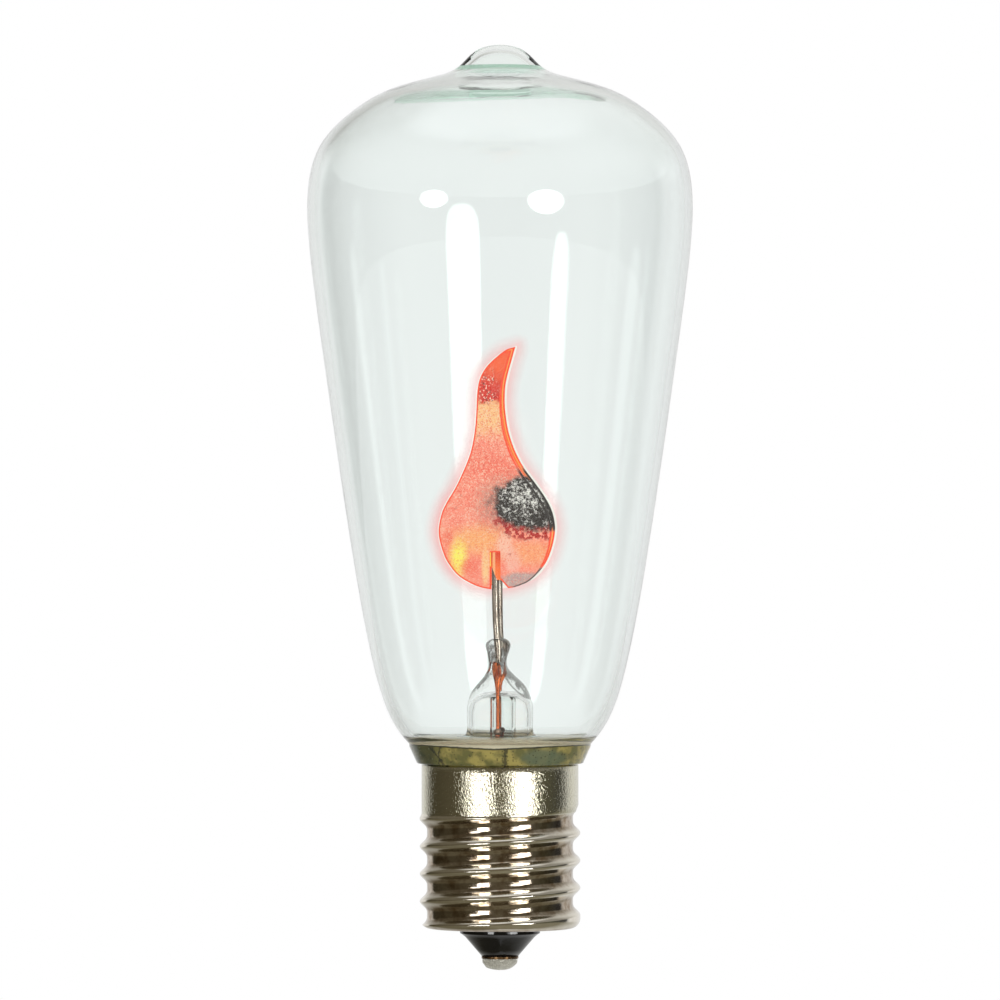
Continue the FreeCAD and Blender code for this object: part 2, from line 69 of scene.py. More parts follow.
class PlateSide(Enum):
    """The two flame plates, with the sign of their place in depth."""

    FRONT = -1
    REAR = 1


class Way(Enum):
    """Which side of a skin of rings faces out of the material."""

    OUT = 1
    IN = -1


def srgb(red: float, green: float, blue: float) -> Colour:
    """Colour from 0 to 255 steps as linear light.

    Args:
        red: red step.
        green: green step.
        blue: blue step.

    Returns:
        Linear red, green and blue.
    """
    steps = []
    for value in (red, green, blue):
        part = value / 255
        steps.append(part / 12.92 if part <= 0.04045 else ((part + 0.055) / 1.055) ** 2.4)
    return steps[0], steps[1], steps[2]


def ease(value: np.ndarray | float, low: float, high: float) -> np.ndarray | float:
    """Smooth step from 0 at low to 1 at high."""
    share = np.clip((value - low) / (high - low), 0.0, 1.0)
    return share * share * (3 - 2 * share)


def clamped_spline(poles: Outline, count: int) -> np.ndarray:
    """Sample a clamped uniform cubic spline.

    Args:
        poles: control points of the spline.
        count: number of samples along it.

    Returns:
        Array with one sample a row.
    """
    control = np.array(poles, float)
    spans = len(control) - 3
    knots = np.array([0.0] * 3 + list(range(spans + 1)) + [float(spans)] * 3)
    samples = []
    for at in np.linspace(0.0, spans, count):
        knot = min(int(at), spans - 1) + 3
        near = [control[j + knot - 3].copy() for j in range(4)]
        for level in range(1, 4):
            for j in range(3, level - 1, -1):
                low = knots[j + knot - 3]
                share = (at - low) / (knots[j + 1 + knot - level] - low)
                near[j] = (1 - share) * near[j - 1] + share * near[j]
        samples.append(near[3])
    return np.array(samples)


def curve_through(points: Outline, steps: int) -> np.ndarray:
    """Smooth curve that passes through every point.

    Args:
        points: points in order.
        steps: samples between two neighbouring points.

    Returns:
        Array with one sample a row, the last point included.
    """
    spots = np.array(points, float)
    padded = np.vstack([2 * spots[0] - spots[1], spots, 2 * spots[-1] - spots[-2]])
    samples = []
    for i in range(1, len(padded) - 2):
        a, b, c, d = padded[i - 1:i + 3]
        for t in np.arange(steps) / steps:
            samples.append(0.5 * (2 * b + (c - a) * t + (2 * a - 5 * b + 4 * c - d) * t ** 2
                                  + (3 * b - 3 * c + d - a) * t ** 3))
    samples.append(spots[-1])
    return np.array(samples)


def inset_outline(points: np.ndarray, wall: float) -> np.ndarray:
    """Outline moved one wall thickness to the left of its direction.

    Args:
        points: samples of the outline in order.
        wall: distance to move.

    Returns:
        Moved samples.
    """
    along = np.gradient(points, axis=0)
    along /= np.linalg.norm(along, axis=1)[:, None]
    return points + wall * np.stack([-along[:, 1], along[:, 0]], axis=1)


def distance_to_loop(spots: np.ndarray, loop: np.ndarray) -> np.ndarray:
    """Distance of each spot to a closed loop of points.

    Args:
        spots: points to measure from.
        loop: corners of the closed loop.

    Returns:
        One distance a spot.
    """
    start = loop
    end = np.roll(loop, -1, axis=0)
    side = end - start
    length = (side ** 2).sum(1) + 1e-12
    best = np.full(len(spots), 1e9)
    for a, s, n in zip(start, side, length):
        share = np.clip(((spots - a) @ s) / n, 0, 1)
        gap = spots - (a + share[:, None] * s)
        best = np.minimum(best, np.hypot(gap[:, 0], gap[:, 1]))
    return best


def inside_loop(spots: np.ndarray, loop: np.ndarray) -> np.ndarray:
    """Whether each spot lies inside a closed loop of points.

    Args:
        spots: points to test.
        loop: corners of the closed loop.

    Returns:
        One truth value a spot.
    """
    found = np.zeros(len(spots), bool)
    for (ax, ay), (bx, by) in zip(loop, np.roll(loop, -1, axis=0)):
        if ay == by:
            continue
        spans = (ay > spots[:, 1]) != (by > spots[:, 1])
        crossing = ax + (spots[:, 1] - ay) * (bx - ax) / (by - ay)
        found ^= spans & (spots[:, 0] < crossing)
    return found


def ring(x_radius: float, y_radius: float, z: float, x: float = 0.0) -> np.ndarray:
    """Level oval ring of points.

    Args:
        x_radius: half width across the plates.
        y_radius: half width from front to back.
        z: height.
        x: place of its centre across the plates.

    Returns:
        Array of points, one a row.
    """
    angle = np.linspace(0, 2 * math.pi, AROUND, endpoint=False)
    return np.stack([x + x_radius * np.cos(angle), y_radius * np.sin(angle),
                     np.full(AROUND, z)], axis=1)


def turned_rings(profile: np.ndarray | Outline) -> list[np.ndarray]:
    """Round rings along a turned outline of radius and height."""
    return [ring(r, r, z) for r, z in profile]


class Skin:
    """Collects vertices and faces of one piece, in millimetres."""

    def __init__(self) -> None:
        """Start with nothing."""
        self.points: list[tuple[float, float, float]] = []
        self.faces: list[tuple[int, ...]] = []
        self.values: dict[str, list[float]] = {}

    def rings(self, rows: list[np.ndarray], way: Way = Way.OUT, closed: bool = True) -> None:
        """Add a skin over rows of points.

        Args:
            rows: rows of equal length.
            way: which side is the outer one.
            closed: whether each row runs back to its start.
        """
        base = len(self.points)
        count = len(rows[0])
        for row in rows:
            self.points += [tuple(point) for point in row]
        last = count if closed else count - 1
        for i in range(len(rows) - 1):
            for j in range(last):
                a = base + i * count + j
                b = base + i * count + (j + 1) % count
                face = (a, b, b + count, a + count)
                self.faces.append(face if way is Way.OUT else face[::-1])

    def triangles(self, points: np.ndarray, faces: list[tuple[int, ...]]) -> None:
        """Add loose faces over their own points.

        Args:
            points: points, one a row.
            faces: each face's places among the points.
        """
        base = len(self.points)
        self.points += [tuple(point) for point in points]
        self.faces += [tuple(base + i for i in face) for face in faces]

    def piece(self, name: str, material: bpy.types.Material, slot: str,
              smooth: bool = True) -> bpy.types.Object:
        """Make the object, fit its material and let it ride on the bulb.

        Args:
            name: name of the piece.
            material: finish of all its faces.
            slot: name of its material slot, not used.
            smooth: whether its faces are shaded smooth.

        Returns:
            The new object.
        """
        mesh = bpy.data.meshes.new(name)
        points = [(x * MM, y * MM, z * MM) for x, y, z in self.points]
        mesh.from_pydata(points, [], self.faces)
        for title, values in self.values.items():
            layer = mesh.attributes.new(title, "FLOAT", "POINT")
            layer.data.foreach_set("value", values)
        shape = bmesh.new()
        shape.from_mesh(mesh)
        bmesh.ops.remove_doubles(shape, verts=shape.verts, dist=2e-8)
        flat = [face for face in shape.faces if face.calc_area() < 1e-15]
        bmesh.ops.delete(shape, geom=flat, context="FACES_ONLY")
        shape.to_mesh(mesh)
        shape.free()
        mesh.polygons.foreach_set("use_smooth", [smooth] * len(mesh.polygons))
        mesh.materials.append(material)
        made = bpy.data.objects.new(name, mesh)
        bpy.context.scene.collection.objects.link(made)
        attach(made, "root")
        LOG.info("%s: %d faces", name, len(mesh.polygons))
        return made


class NodeSheet:
    """Node tree with the arithmetic that the finishes and the room share."""

    def __init__(self, tree: bpy.types.NodeTree) -> None:
        """Start with an empty tree."""
        self.tree = tree
        self.tree.nodes.clear()

    def feed(self, socket: Socket, value: Feed) -> None:
        """Give a socket a link, a number or a colour.

        Args:
            socket: input to set.
            value: what it gets.
        """
        if isinstance(value, Socket):
            self.tree.links.new(value, socket)
        elif isinstance(value, tuple) and len(value) == 3 and socket.type == "RGBA":
            socket.default_value = (*value, 1.0)
        else:
            socket.default_value = value

    def sum(self, operation: str, first: Feed, second: Feed = 0.0, third: Feed = 0.0,
            clamp: bool = False) -> Socket:
        """One arithmetic step.

        Args:
            operation: Blender's name of the step.
            first: number or socket.
            second: number or socket.
            third: number or socket.
            clamp: whether the result stays from 0 to 1.

        Returns:
            The result's socket.
        """
        node = self.tree.nodes.new("ShaderNodeMath")
        node.operation = operation
        node.use_clamp = clamp
        for socket, value in zip(node.inputs, (first, second, third)):
            self.feed(socket, value)
        return node.outputs["Value"]

    def step(self, value: Feed, low: float, high: float) -> Socket:
        """Smooth step from 0 at low to 1 at high.

        Args:
            value: number or socket.
            low: value where the step starts.
            high: value where it ends, which may be the smaller one.

        Returns:
            Socket with the share.
        """
        node = self.tree.nodes.new("ShaderNodeMapRange")
        node.interpolation_type = "SMOOTHSTEP"
        flip = low > high
        self.feed(node.inputs["Value"], value)
        node.inputs["From Min"].default_value = high if flip else low
        node.inputs["From Max"].default_value = low if flip else high
        node.inputs["To Min"].default_value = 1.0 if flip else 0.0
        node.inputs["To Max"].default_value = 0.0 if flip else 1.0
        return node.outputs["Result"]

    def mix(self, share: Feed, first: Feed, second: Feed) -> Socket:
        """Colour between two, by share.

        Args:
            share: 0 for the first colour, 1 for the second.
            first: colour or socket.
            second: colour or socket.

        Returns:
            Socket with the colour.
        """
        node = self.tree.nodes.new("ShaderNodeMix")
        node.data_type = "RGBA"
        self.feed(node.inputs[0], share)
        self.feed(node.inputs[6], first)
        self.feed(node.inputs[7], second)
        return node.outputs[2]


class Sheet(NodeSheet):
    """Node sheet of one finish, with its main shader already joined to the output."""

    def __init__(self, name: str) -> None:
        """Start a finish.

        Args:
            name: name of the finish.
        """
        self.material = bpy.data.materials.new(name)
        self.material.use_nodes = True
        super().__init__(self.material.node_tree)
        self.output = self.tree.nodes.new("ShaderNodeOutputMaterial")
        self.shader = self.tree.nodes.new("ShaderNodeBsdfPrincipled")
        self.tree.links.new(self.shader.outputs["BSDF"], self.output.inputs["Surface"])
        self.place = self._place()
        self.wander: Socket | None = None

    def _place(self) -> Socket:
        """Place on the bulb.

        Returns:
            Socket with the place in millimetres.
        """
        coordinates = self.tree.nodes.new("ShaderNodeTexCoord")
        scale = self.tree.nodes.new("ShaderNodeVectorMath")
        scale.operation = "SCALE"
        scale.inputs["Scale"].default_value = 1000.0
        self.tree.links.new(coordinates.outputs["Object"], scale.inputs[0])
        return scale.outputs["Vector"]

    def set(self, name: str, value: float | Colour) -> None:
        """Set one input of the main shader to a constant, a number or a colour."""
        socket = self.shader.inputs[name]
        socket.default_value = (*value, 1.0) if isinstance(value, tuple) else value

    def drive(self, name: str, source: Socket) -> None:
        """Join a pattern to one input of the main shader."""
        self.tree.links.new(source, self.shader.inputs[name])

    def axes(self) -> tuple[Socket, ...]:
        """The place's three coordinates.

        Returns:
            A socket each, in millimetres.
        """
        split = self.tree.nodes.new("ShaderNodeSeparateXYZ")
        self.feed(split.inputs[0], self.place)
        return tuple(split.outputs)

    def radius(self) -> Socket:
        """Distance from the bulb's axis.

        Returns:
            Socket with the distance in millimetres.
        """
        x, y, _ = self.axes()
        square = self.sum("ADD", self.sum("MULTIPLY", x, x), self.sum("MULTIPLY", y, y))
        return self.sum("SQRT", square)

    def cloud(self, scale: float, detail: float = 3.0, stretch: Colour = (1.0, 1.0, 1.0),
              rough: float = 0.5) -> Socket:
        """Cloudy pattern around 0.5.

        Args:
            scale: waves a millimetre.
            detail: octaves.
            stretch: factors on the three axes before the pattern.
            rough: share of the finer octaves.

        Returns:
            The pattern's socket.
        """
        turn = self.tree.nodes.new("ShaderNodeVectorMath")
        turn.operation = "MULTIPLY"
        self.feed(turn.inputs[0], self.place)
        turn.inputs[1].default_value = stretch
        node = self.tree.nodes.new("ShaderNodeTexNoise")
        self.feed(node.inputs["Vector"], turn.outputs["Vector"])
        node.inputs["Scale"].default_value = scale
        node.inputs["Detail"].default_value = detail
        node.inputs["Roughness"].default_value = rough
        return node.outputs["Fac"]

    def _scatter(self, scale: float) -> bpy.types.Node:
        """Node of scattered grains.

        Args:
            scale: grains a millimetre.

        Returns:
            The node, with outputs for distance and level.
        """
        node = self.tree.nodes.new("ShaderNodeTexVoronoi")
        self.feed(node.inputs["Vector"], self.place)
        node.inputs["Scale"].default_value = scale
        return node

    def grains(self, scale: float) -> Socket:
        """Distance to the nearest of many scattered grains."""
        return self._scatter(scale).outputs["Distance"]

    def flecks(self, scale: float) -> Socket:
        """Random level, the same all over each of many small grains."""
        return self._scatter(scale).outputs["Color"]

    def value(self, name: str) -> Socket:
        """Value stored on the mesh's points.

        Args:
            name: name of the stored value.

        Returns:
            Its socket.
        """
        node = self.tree.nodes.new("ShaderNodeAttribute")
        node.attribute_name = name
        return node.outputs["Fac"]

    def relief(self, height: Socket, depth: float, strength: float = 1.0) -> None:
        """Surface relief from a height pattern.

        Args:
            height: pattern of heights.
            depth: depth of the relief in millimetres.
            strength: how much of it shows.
        """
        node = self.tree.nodes.new("ShaderNodeBump")
        node.inputs["Strength"].default_value = strength
        node.inputs["Distance"].default_value = depth * MM
        self.feed(node.inputs["Height"], height)
        self.drive("Normal", node.outputs["Normal"])

    def spot(self, centre: tuple[float, float], size: tuple[float, float], soft: float = 0.3,
             ragged: float = 0.25) -> Socket:
        """Soft patch on a plate.

        Args:
            centre: its place across and up, in millimetres.
            size: half width and half height.
            soft: width of its soft edge, as a share of its size.
            ragged: how uneven its edge is.

        Returns:
            Share of the patch at each place.
        """
        x, _, z = self.axes()
        across = self.sum("DIVIDE", self.sum("SUBTRACT", x, centre[0]), size[0])
        up = self.sum("DIVIDE", self.sum("SUBTRACT", z, centre[1]), size[1])
        reach = self.sum("SQRT", self.sum("ADD", self.sum("MULTIPLY", across, across),
                                          self.sum("MULTIPLY", up, up)))
        if self.wander is None:
            self.wander = self.cloud(0.9, 5.0, rough=0.6)
        uneven = self.sum("MULTIPLY_ADD", self.wander, 2 * ragged, -ragged)
        return self.step(self.sum("ADD", reach, uneven), 1 + soft, 1 - soft)


@dataclass(frozen=True)
class ClearGlass:
    """Clear glass, faintly green where it is thick."""

    name: str
    tint: Colour = (0.964, 0.988, 0.982)
    depth_tint: Colour = (0.54, 0.73, 0.63)
    density: float = 42.0
    wave: float = 0.006
    index: float = 1.5

    def build(self) -> bpy.types.Material:
        """Make the glass with a light waviness from blowing.

        Returns:
            The finish.
        """
        sheet = Sheet(self.name)
        sheet.set("Base Color", self.tint)
        sheet.set("Roughness", 0.0)
        sheet.set("IOR", self.index)
        sheet.set("Transmission Weight", 1.0)
        sheet.relief(sheet.cloud(0.35, 1.5, (1.0, 1.0, 0.25)), self.wave)
        depth = sheet.tree.nodes.new("ShaderNodeVolumeAbsorption")
        depth.inputs["Color"].default_value = (*self.depth_tint, 1.0)
        depth.inputs["Density"].default_value = self.density
        sheet.tree.links.new(depth.outputs["Volume"], sheet.output.inputs["Volume"])
        return sheet.material


@dataclass(frozen=True)
class PressedGlass:
    """Glass of the stem, with painted shade for the dark outlines of its pressed head."""

    clear: Colour = (0.985, 0.988, 0.98)
    # Painted shade: dark tint that stands in for the head's refraction outlines.
    outline: Colour = (0.05, 0.045, 0.04)

    def build(self) -> bpy.types.Material:
        """Make the glass, with painted shade darkest where the head turns away.

        Returns:
            The finish.
        """
        sheet = Sheet("pressed_glass")
        x, y, z = sheet.axes()
        weight = sheet.tree.nodes.new("ShaderNodeLayerWeight")
        weight.inputs["Blend"].default_value = 0.5
        head = sheet.step(z, 27.6, 29.4)
        uneven = sheet.sum("MULTIPLY_ADD", sheet.cloud(1.5, 4.0, rough=0.6), 1.3, -0.65)
        # Painted shade: edges that turn away from the view, and uneven patches on the head, tint
        # the glass dark.
        facing = sheet.sum("MULTIPLY_ADD", uneven, head, weight.outputs["Facing"])
        facing = sheet.sum("MULTIPLY_ADD", head, 0.36, facing)
        edge = sheet.step(facing, 0.7, 0.94)
        faint = sheet.sum("MULTIPLY_ADD", head, 0.5, 0.45)
        dark = sheet.sum("MAXIMUM", sheet.sum("MULTIPLY", edge, faint), self._painted_lobe_outline(sheet, x, y, z))
        sheet.drive("Base Color", sheet.mix(dark, self.clear, self.outline))
        sheet.set("Roughness", 0.0)
        sheet.set("IOR", 1.13)
        sheet.set("Transmission Weight", 1.0)
        sheet.relief(sheet.cloud(0.8, 3.0), 0.03)
        return sheet.material

    def _painted_lobe_outline(self, sheet: Sheet, *place: Socket) -> Socket:
        """Painted shade: dark outline of the lobe pinched out on the front's right shoulder.

        Args:
            sheet: sheet of the glass.
            place: the three parts of a place on it, in millimetres.

        Returns:
            Share of the outline.
        """
        x, y, z = place
        across = sheet.sum("SUBTRACT", x, 2.0)
        up = sheet.sum("MULTIPLY_ADD", across, 1.05, sheet.sum("SUBTRACT", z, 29.35))
        across = sheet.sum("DIVIDE", across, 1.15)
        up = sheet.sum("DIVIDE", up, 0.42)
        reach = sheet.sum("SQRT", sheet.sum("ADD", sheet.sum("MULTIPLY", across, across),
                                            sheet.sum("MULTIPLY", up, up)))
        line = sheet.step(sheet.sum("ABSOLUTE", sheet.sum("SUBTRACT", reach, 0.85)), 0.34, 0.14)
        return sheet.sum("MULTIPLY", sheet.sum("MULTIPLY", line, 0.85), sheet.step(y, 0.1, -0.3))


@dataclass(frozen=True)
class ThinGlass:
    """Pale green thick place in the glass, with next to no bending of its own."""

    pale: Colour = (0.77, 0.89, 0.83)
    deep: Colour = (0.66, 0.83, 0.73)

    def build(self) -> bpy.types.Material:
        """Make the glass with its cloudy green and painted shade at its right end.

        Returns:
            The finish.
        """
        sheet = Sheet("crown_glass")
        cloudy = sheet.step(sheet.cloud(0.45, 3.0, (1.0, 1.0, 2.0)), 0.35, 0.65)
        tone = sheet.mix(cloudy, self.pale, self.deep)
        x, _, _ = sheet.axes()
        # Painted shade: the ring's right end, past 8.4 mm across, turns dark grey-green.
        sheet.drive("Base Color", sheet.mix(sheet.step(x, 8.4, 10.2), tone, (0.42, 0.47, 0.42)))
        sheet.set("Roughness", 0.0)
        sheet.set("IOR", 1.03)
        sheet.set("Transmission Weight", 1.0)
        sheet.relief(sheet.cloud(0.4, 1.5), 0.01)
        return sheet.material


@dataclass(frozen=True)
class Patch:
    """Soft patch of another tone on a flame plate."""

    x: float
    z: float
    wide: float
    high: float
    share: float
    tone: Colour
    soft: float = 0.5


@dataclass(frozen=True)
class FlameCoat:
    """Coated plate metal under the glow of the neon gas."""

    side: PlateSide
    salmon: Colour = srgb(255, 154, 129)
    rim: Colour = srgb(255, 74, 34)
    wire_x: float = -0.298
    patches: tuple[Patch, ...] = (
        Patch(-0.8, 52.0, 2.3, 1.2, 0.75, srgb(250, 112, 88), 0.7),
        # Painted reflection: the bright patches at 44.3, 42.5 and 41.2 mm stand in for the glass's
        # light strip seen over the flame.
        Patch(-2.0, 44.3, 2.8, 1.4, 0.9, srgb(255, 174, 104), 0.7),
        Patch(-4.1, 42.5, 0.8, 1.6, 1.0, srgb(255, 238, 96), 0.7),
        Patch(-4.5, 41.2, 0.6, 0.6, 0.8, srgb(255, 216, 84), 0.6),
        Patch(-3.0, 41.5, 0.85, 0.9, 0.8, srgb(250, 112, 84)),
        Patch(-5.2, 44.6, 0.5, 0.7, 0.7, srgb(248, 106, 80)),
        Patch(3.2, 43.0, 2.8, 1.2, 0.85, srgb(255, 164, 108), 0.6),
        Patch(0.7, 43.8, 0.8, 1.2, 0.8, srgb(255, 196, 170)),
        Patch(1.5, 42.2, 0.8, 1.3, 0.7, srgb(252, 184, 164)),
        Patch(-1.3, 41.6, 0.4, 1.7, 0.85, srgb(255, 206, 140)),
        # Painted light: the grey corner is bare plate whose lit grey tone is given off as
        # emission.
        Patch(2.7, 40.15, 2.4, 0.85, 0.95, srgb(184, 158, 154), 0.25))

    def build(self) -> bpy.types.Material:
        """Make the glowing coat with its bare, sooty and bright patches; three bright patches are
        a painted reflection of the glass's light strip, and the bare plate's tones are painted
        light given off as emission.

        Returns:
            The finish.
        """
        sheet = Sheet(f"flame_coat_{self.side.name.lower()}")
        glow = self._speckled(sheet)
        glow = self._tip(sheet, glow)
        for patch in self.patches:
            spot = sheet.spot((patch.x, patch.z), (patch.wide, patch.high), patch.soft)
            glow = sheet.mix(sheet.sum("MULTIPLY", spot, patch.share), glow, patch.tone)
        glow = self._dots(sheet, glow)
        glow, metal = self._bare_patch(sheet, glow)
        glow = self._rims(sheet, glow, metal)
        sheet.drive("Emission Color", glow)
        sheet.set("Emission Strength", 1.04)
        sheet.set("Base Color", (0.02, 0.015, 0.012))
        sheet.set("Roughness", 0.55)
        sheet.set("Specular IOR Level", 0.2)
        return sheet.material

    def _speckled(self, sheet: Sheet) -> Socket:
        """Salmon coat, cloudy and a little deeper in places.

        Args:
            sheet: sheet of the coat.

        Returns:
            Colour of the coat.
        """
        broad = sheet.cloud(0.5, 4.0)
        tone = sheet.mix(sheet.step(broad, 0.42, 0.62), self.salmon, srgb(255, 138, 114))
        return sheet.mix(sheet.step(broad, 0.42, 0.3), tone, srgb(255, 172, 142))

    def _dots(self, sheet: Sheet, glow: Socket) -> Socket:
        """Fine pale and dark red dots all over the coat.

        Args:
            sheet: sheet of the coat.
            glow: colour of the coat so far.

        Returns:
            Colour with the dots.
        """
        _, _, z = sheet.axes()
        fleck = sheet.flecks(8.6)
        most = sheet.sum("MULTIPLY_ADD", sheet.step(z, 42.0, 50.0), 0.3, 0.35)
        most = sheet.sum("MULTIPLY", most,
                         sheet.sum("MULTIPLY_ADD", sheet.step(z, 57.0, 59.0), -0.8, 1.0))
        glow = sheet.mix(sheet.sum("MULTIPLY", sheet.step(fleck, 0.6, 0.8), most),
                         glow, srgb(255, 216, 188))
        glow = sheet.mix(sheet.sum("MULTIPLY", sheet.step(fleck, 0.38, 0.18), most),
                         glow, srgb(240, 84, 60))
        rare = sheet.step(sheet.flecks(3.3), 0.07, 0.03)
        return sheet.mix(sheet.sum("MULTIPLY", rare, 0.75), glow, srgb(190, 44, 34))

    def _tip(self, sheet: Sheet, glow: Socket) -> Socket:
        """Orange tip, deep red belt with sparkles and the pale belt under it.

        Args:
            sheet: sheet of the coat.
            glow: colour of the coat so far.

        Returns:
            Colour with the tip.
        """
        x, _, z = sheet.axes()
        uneven = sheet.sum("MULTIPLY_ADD", sheet.cloud(1.7, 5.0, rough=0.65), 2.4, -1.2)
        level = sheet.sum("ADD", z, uneven)
        pale = sheet.sum("MULTIPLY", sheet.step(level, 54.0, 56.6), sheet.step(level, 59.2, 58.4))
        glow = sheet.mix(sheet.sum("MULTIPLY", pale, 0.9), glow, srgb(255, 202, 138))
        glow = sheet.mix(sheet.step(level, 58.1, 58.8), glow, srgb(220, 34, 20))
        upper = sheet.sum("ADD", level, sheet.sum("MULTIPLY", x, 0.35))
        glow = sheet.mix(sheet.step(upper, 59.6, 62.3), glow, srgb(252, 96, 48))
        belt = sheet.sum("MULTIPLY", sheet.step(z, 58.0, 58.8), sheet.step(z, 62.6, 60.6))
        middle = sheet.step(sheet.sum("ABSOLUTE", sheet.sum("SUBTRACT", x, -1.15)), 1.1, 0.5)
        dense = sheet.sum("MULTIPLY", belt, sheet.sum("MULTIPLY_ADD", middle, 0.75, 0.25))
        fleck = sheet.flecks(7.6)
        white = sheet.sum("MULTIPLY", dense, sheet.step(fleck, 0.74, 0.8))
        glow = sheet.mix(white, glow, srgb(255, 222, 200))
        dark = sheet.sum("MULTIPLY", dense, sheet.step(fleck, 0.26, 0.18))
        return sheet.mix(dark, glow, srgb(130, 24, 18))

    def _bare_patch(self, sheet: Sheet, glow: Socket) -> tuple[Socket, Socket]:
        """Sooty patch on the right where no gas glows, with its dark red border. Its grey and
        white tones are painted sheen given off as emission, paler in a painted spot of light.

        Args:
            sheet: sheet of the coat.
            glow: colour of the coat so far.

        Returns:
            Colour with the patch, and the share of bare plate.
        """
        x, _, z = sheet.axes()
        haze = sheet.spot((1.4, 48.0), (3.1, 2.5), 0.6, 0.3)
        core = sheet.spot((3.7, 48.15), (4.3, 2.75), 0.12, 0.35)
        border = sheet.spot((3.7, 47.5), (4.3, 3.2), 0.14, 0.5)
        grain = sheet.cloud(3.2, 5.0, rough=0.85)
        # Painted light: a soft spot where the bare plate's painted sheen is paler.
        light = sheet.spot((2.8, 48.8), (2.1, 1.6), 0.9, 0.2)
        fleck = sheet.flecks(6.0)
        level = sheet.sum("MULTIPLY_ADD", light, 0.09, grain)
        level = sheet.sum("MULTIPLY_ADD", fleck, 0.06, level)
        # Dark sooty tone with the bare metal's grey and white painted sheen, given off as
        # emission.
        soot_and_painted_sheen = sheet.mix(sheet.step(level, 0.59, 0.612), srgb(22, 15, 15), srgb(150, 146, 140))
        soot_and_painted_sheen = sheet.mix(sheet.step(level, 0.625, 0.665), soot_and_painted_sheen, srgb(232, 228, 220))
        brown = sheet.sum("MULTIPLY", haze, sheet.sum("MULTIPLY_ADD", fleck, 0.7, 0.25))
        glow = sheet.mix(brown, glow, srgb(150, 122, 112))
        lively = sheet.sum("MULTIPLY", border, sheet.step(sheet.cloud(2.4, 3.0), 0.53, 0.49))
        low = sheet.step(z, 48.0, 46.2)
        glow = sheet.mix(sheet.sum("MULTIPLY", lively, low), glow, srgb(186, 24, 20))
        edge = sheet.sum("MULTIPLY", sheet.step(x, 1.6, 2.4), sheet.step(z, 45.0, 45.4))
        edge = sheet.sum("MULTIPLY", edge, sheet.step(z, 52.6, 51.4))
        line = sheet.sum("MULTIPLY", edge, sheet.step(sheet.value("rim"), 0.34, 0.12))
        soot_and_painted_sheen = sheet.mix(line, soot_and_painted_sheen, srgb(36, 32, 32))
        metal = sheet.sum("MAXIMUM", core, line)
        return sheet.mix(metal, glow, soot_and_painted_sheen), metal

    def _rims(self, sheet: Sheet, glow: Socket, metal: Socket) -> Socket:
        """Bright rim of the plate and the glowing strap over the wire, with a painted highlight
        down the strap, painted shade at its top and, on the rear plate, a painted highlight line
        along the edge.

        Args:
            sheet: sheet of the coat.
            glow: colour of the coat.
            metal: share of bare plate.

        Returns:
            Colour with rim and strap.
        """
        away = sheet.value("rim")
        bright = sheet.sum("SUBTRACT", 1.0, metal)
        if self.side is PlateSide.REAR:
            glow = sheet.mix(sheet.sum("MULTIPLY", sheet.step(away, 0.6, 0.3), bright), glow,
                             srgb(255, 104, 46))
            # Painted highlight: a pale line along the rear plate's edge.
            painted_edge_highlight = sheet.sum("MULTIPLY", sheet.step(away, 0.09, 0.13),
                               sheet.step(away, 0.26, 0.2))
            glow = sheet.mix(sheet.sum("MULTIPLY", painted_edge_highlight, bright), glow, srgb(255, 190, 92))
        corner = sheet.spot((3.6, 40.3), (2.6, 1.3), 0.15, 0.1)
        bright = sheet.sum("MULTIPLY", bright, sheet.sum("SUBTRACT", 1.0, corner))
        # Darker line along the rim of the grey corner.
        corner_dark_edge = sheet.sum("MULTIPLY", corner, sheet.step(away, 0.16, 0.08))
        glow = sheet.mix(corner_dark_edge, glow, srgb(96, 76, 72))
        edge = sheet.step(away, 0.2, 0.1)
        glow = sheet.mix(sheet.sum("MULTIPLY", edge, bright), glow, self.rim)
        x, _, z = sheet.axes()
        across = sheet.sum("SUBTRACT", x, self.wire_x)
        # Painted shade: the strap darkens to deep red towards its top.
        tone = sheet.mix(sheet.step(z, 43.1, 41.0), srgb(226, 62, 26), srgb(255, 116, 46))
        # Painted highlight: a pale line down the strap.
        tone = sheet.mix(sheet.step(sheet.sum("ABSOLUTE", sheet.sum("ADD", across, 0.05)),
                                    0.2, 0.06), tone, srgb(255, 178, 122))
        tone = sheet.mix(sheet.step(across, -0.36, -0.44), tone, srgb(255, 214, 72))
        return sheet.mix(sheet.step(away, -0.4, -0.6), glow, tone)


@dataclass(frozen=True)
class NeonHaze:
    """Pink haze of glowing gas close round the plates."""

    pink: Colour = srgb(255, 196, 194)
    cream: Colour = srgb(255, 250, 240)

    def build(self) -> bpy.types.Material:
        """Make the haze, creamy at the plates and fading outwards.

        Returns:
            The finish.
        """
        sheet = Sheet("neon_haze")
        fade = sheet.value("fade")
        x, _, _ = sheet.axes()
        uneven = sheet.sum("MULTIPLY_ADD", sheet.cloud(0.35, 2.0), 0.7, 0.55)
        uneven = sheet.sum("MULTIPLY_ADD", sheet.step(x, -3.0, -6.0), 0.35, uneven)
        sheet.drive("Emission Color", sheet.mix(sheet.step(fade, 0.8, 0.9), self.pink, self.cream))
        sheet.set("Emission Strength", 1.0)
        sheet.set("Base Color", (0.0, 0.0, 0.0))
        sheet.set("Specular IOR Level", 0.0)
        thin = sheet.sum("MULTIPLY", fade, uneven, clamp=True)
        solid = sheet.step(fade, 0.84, 0.94)
        sheet.drive("Alpha", sheet.sum("MAXIMUM", thin, solid, clamp=True))
        return sheet.material


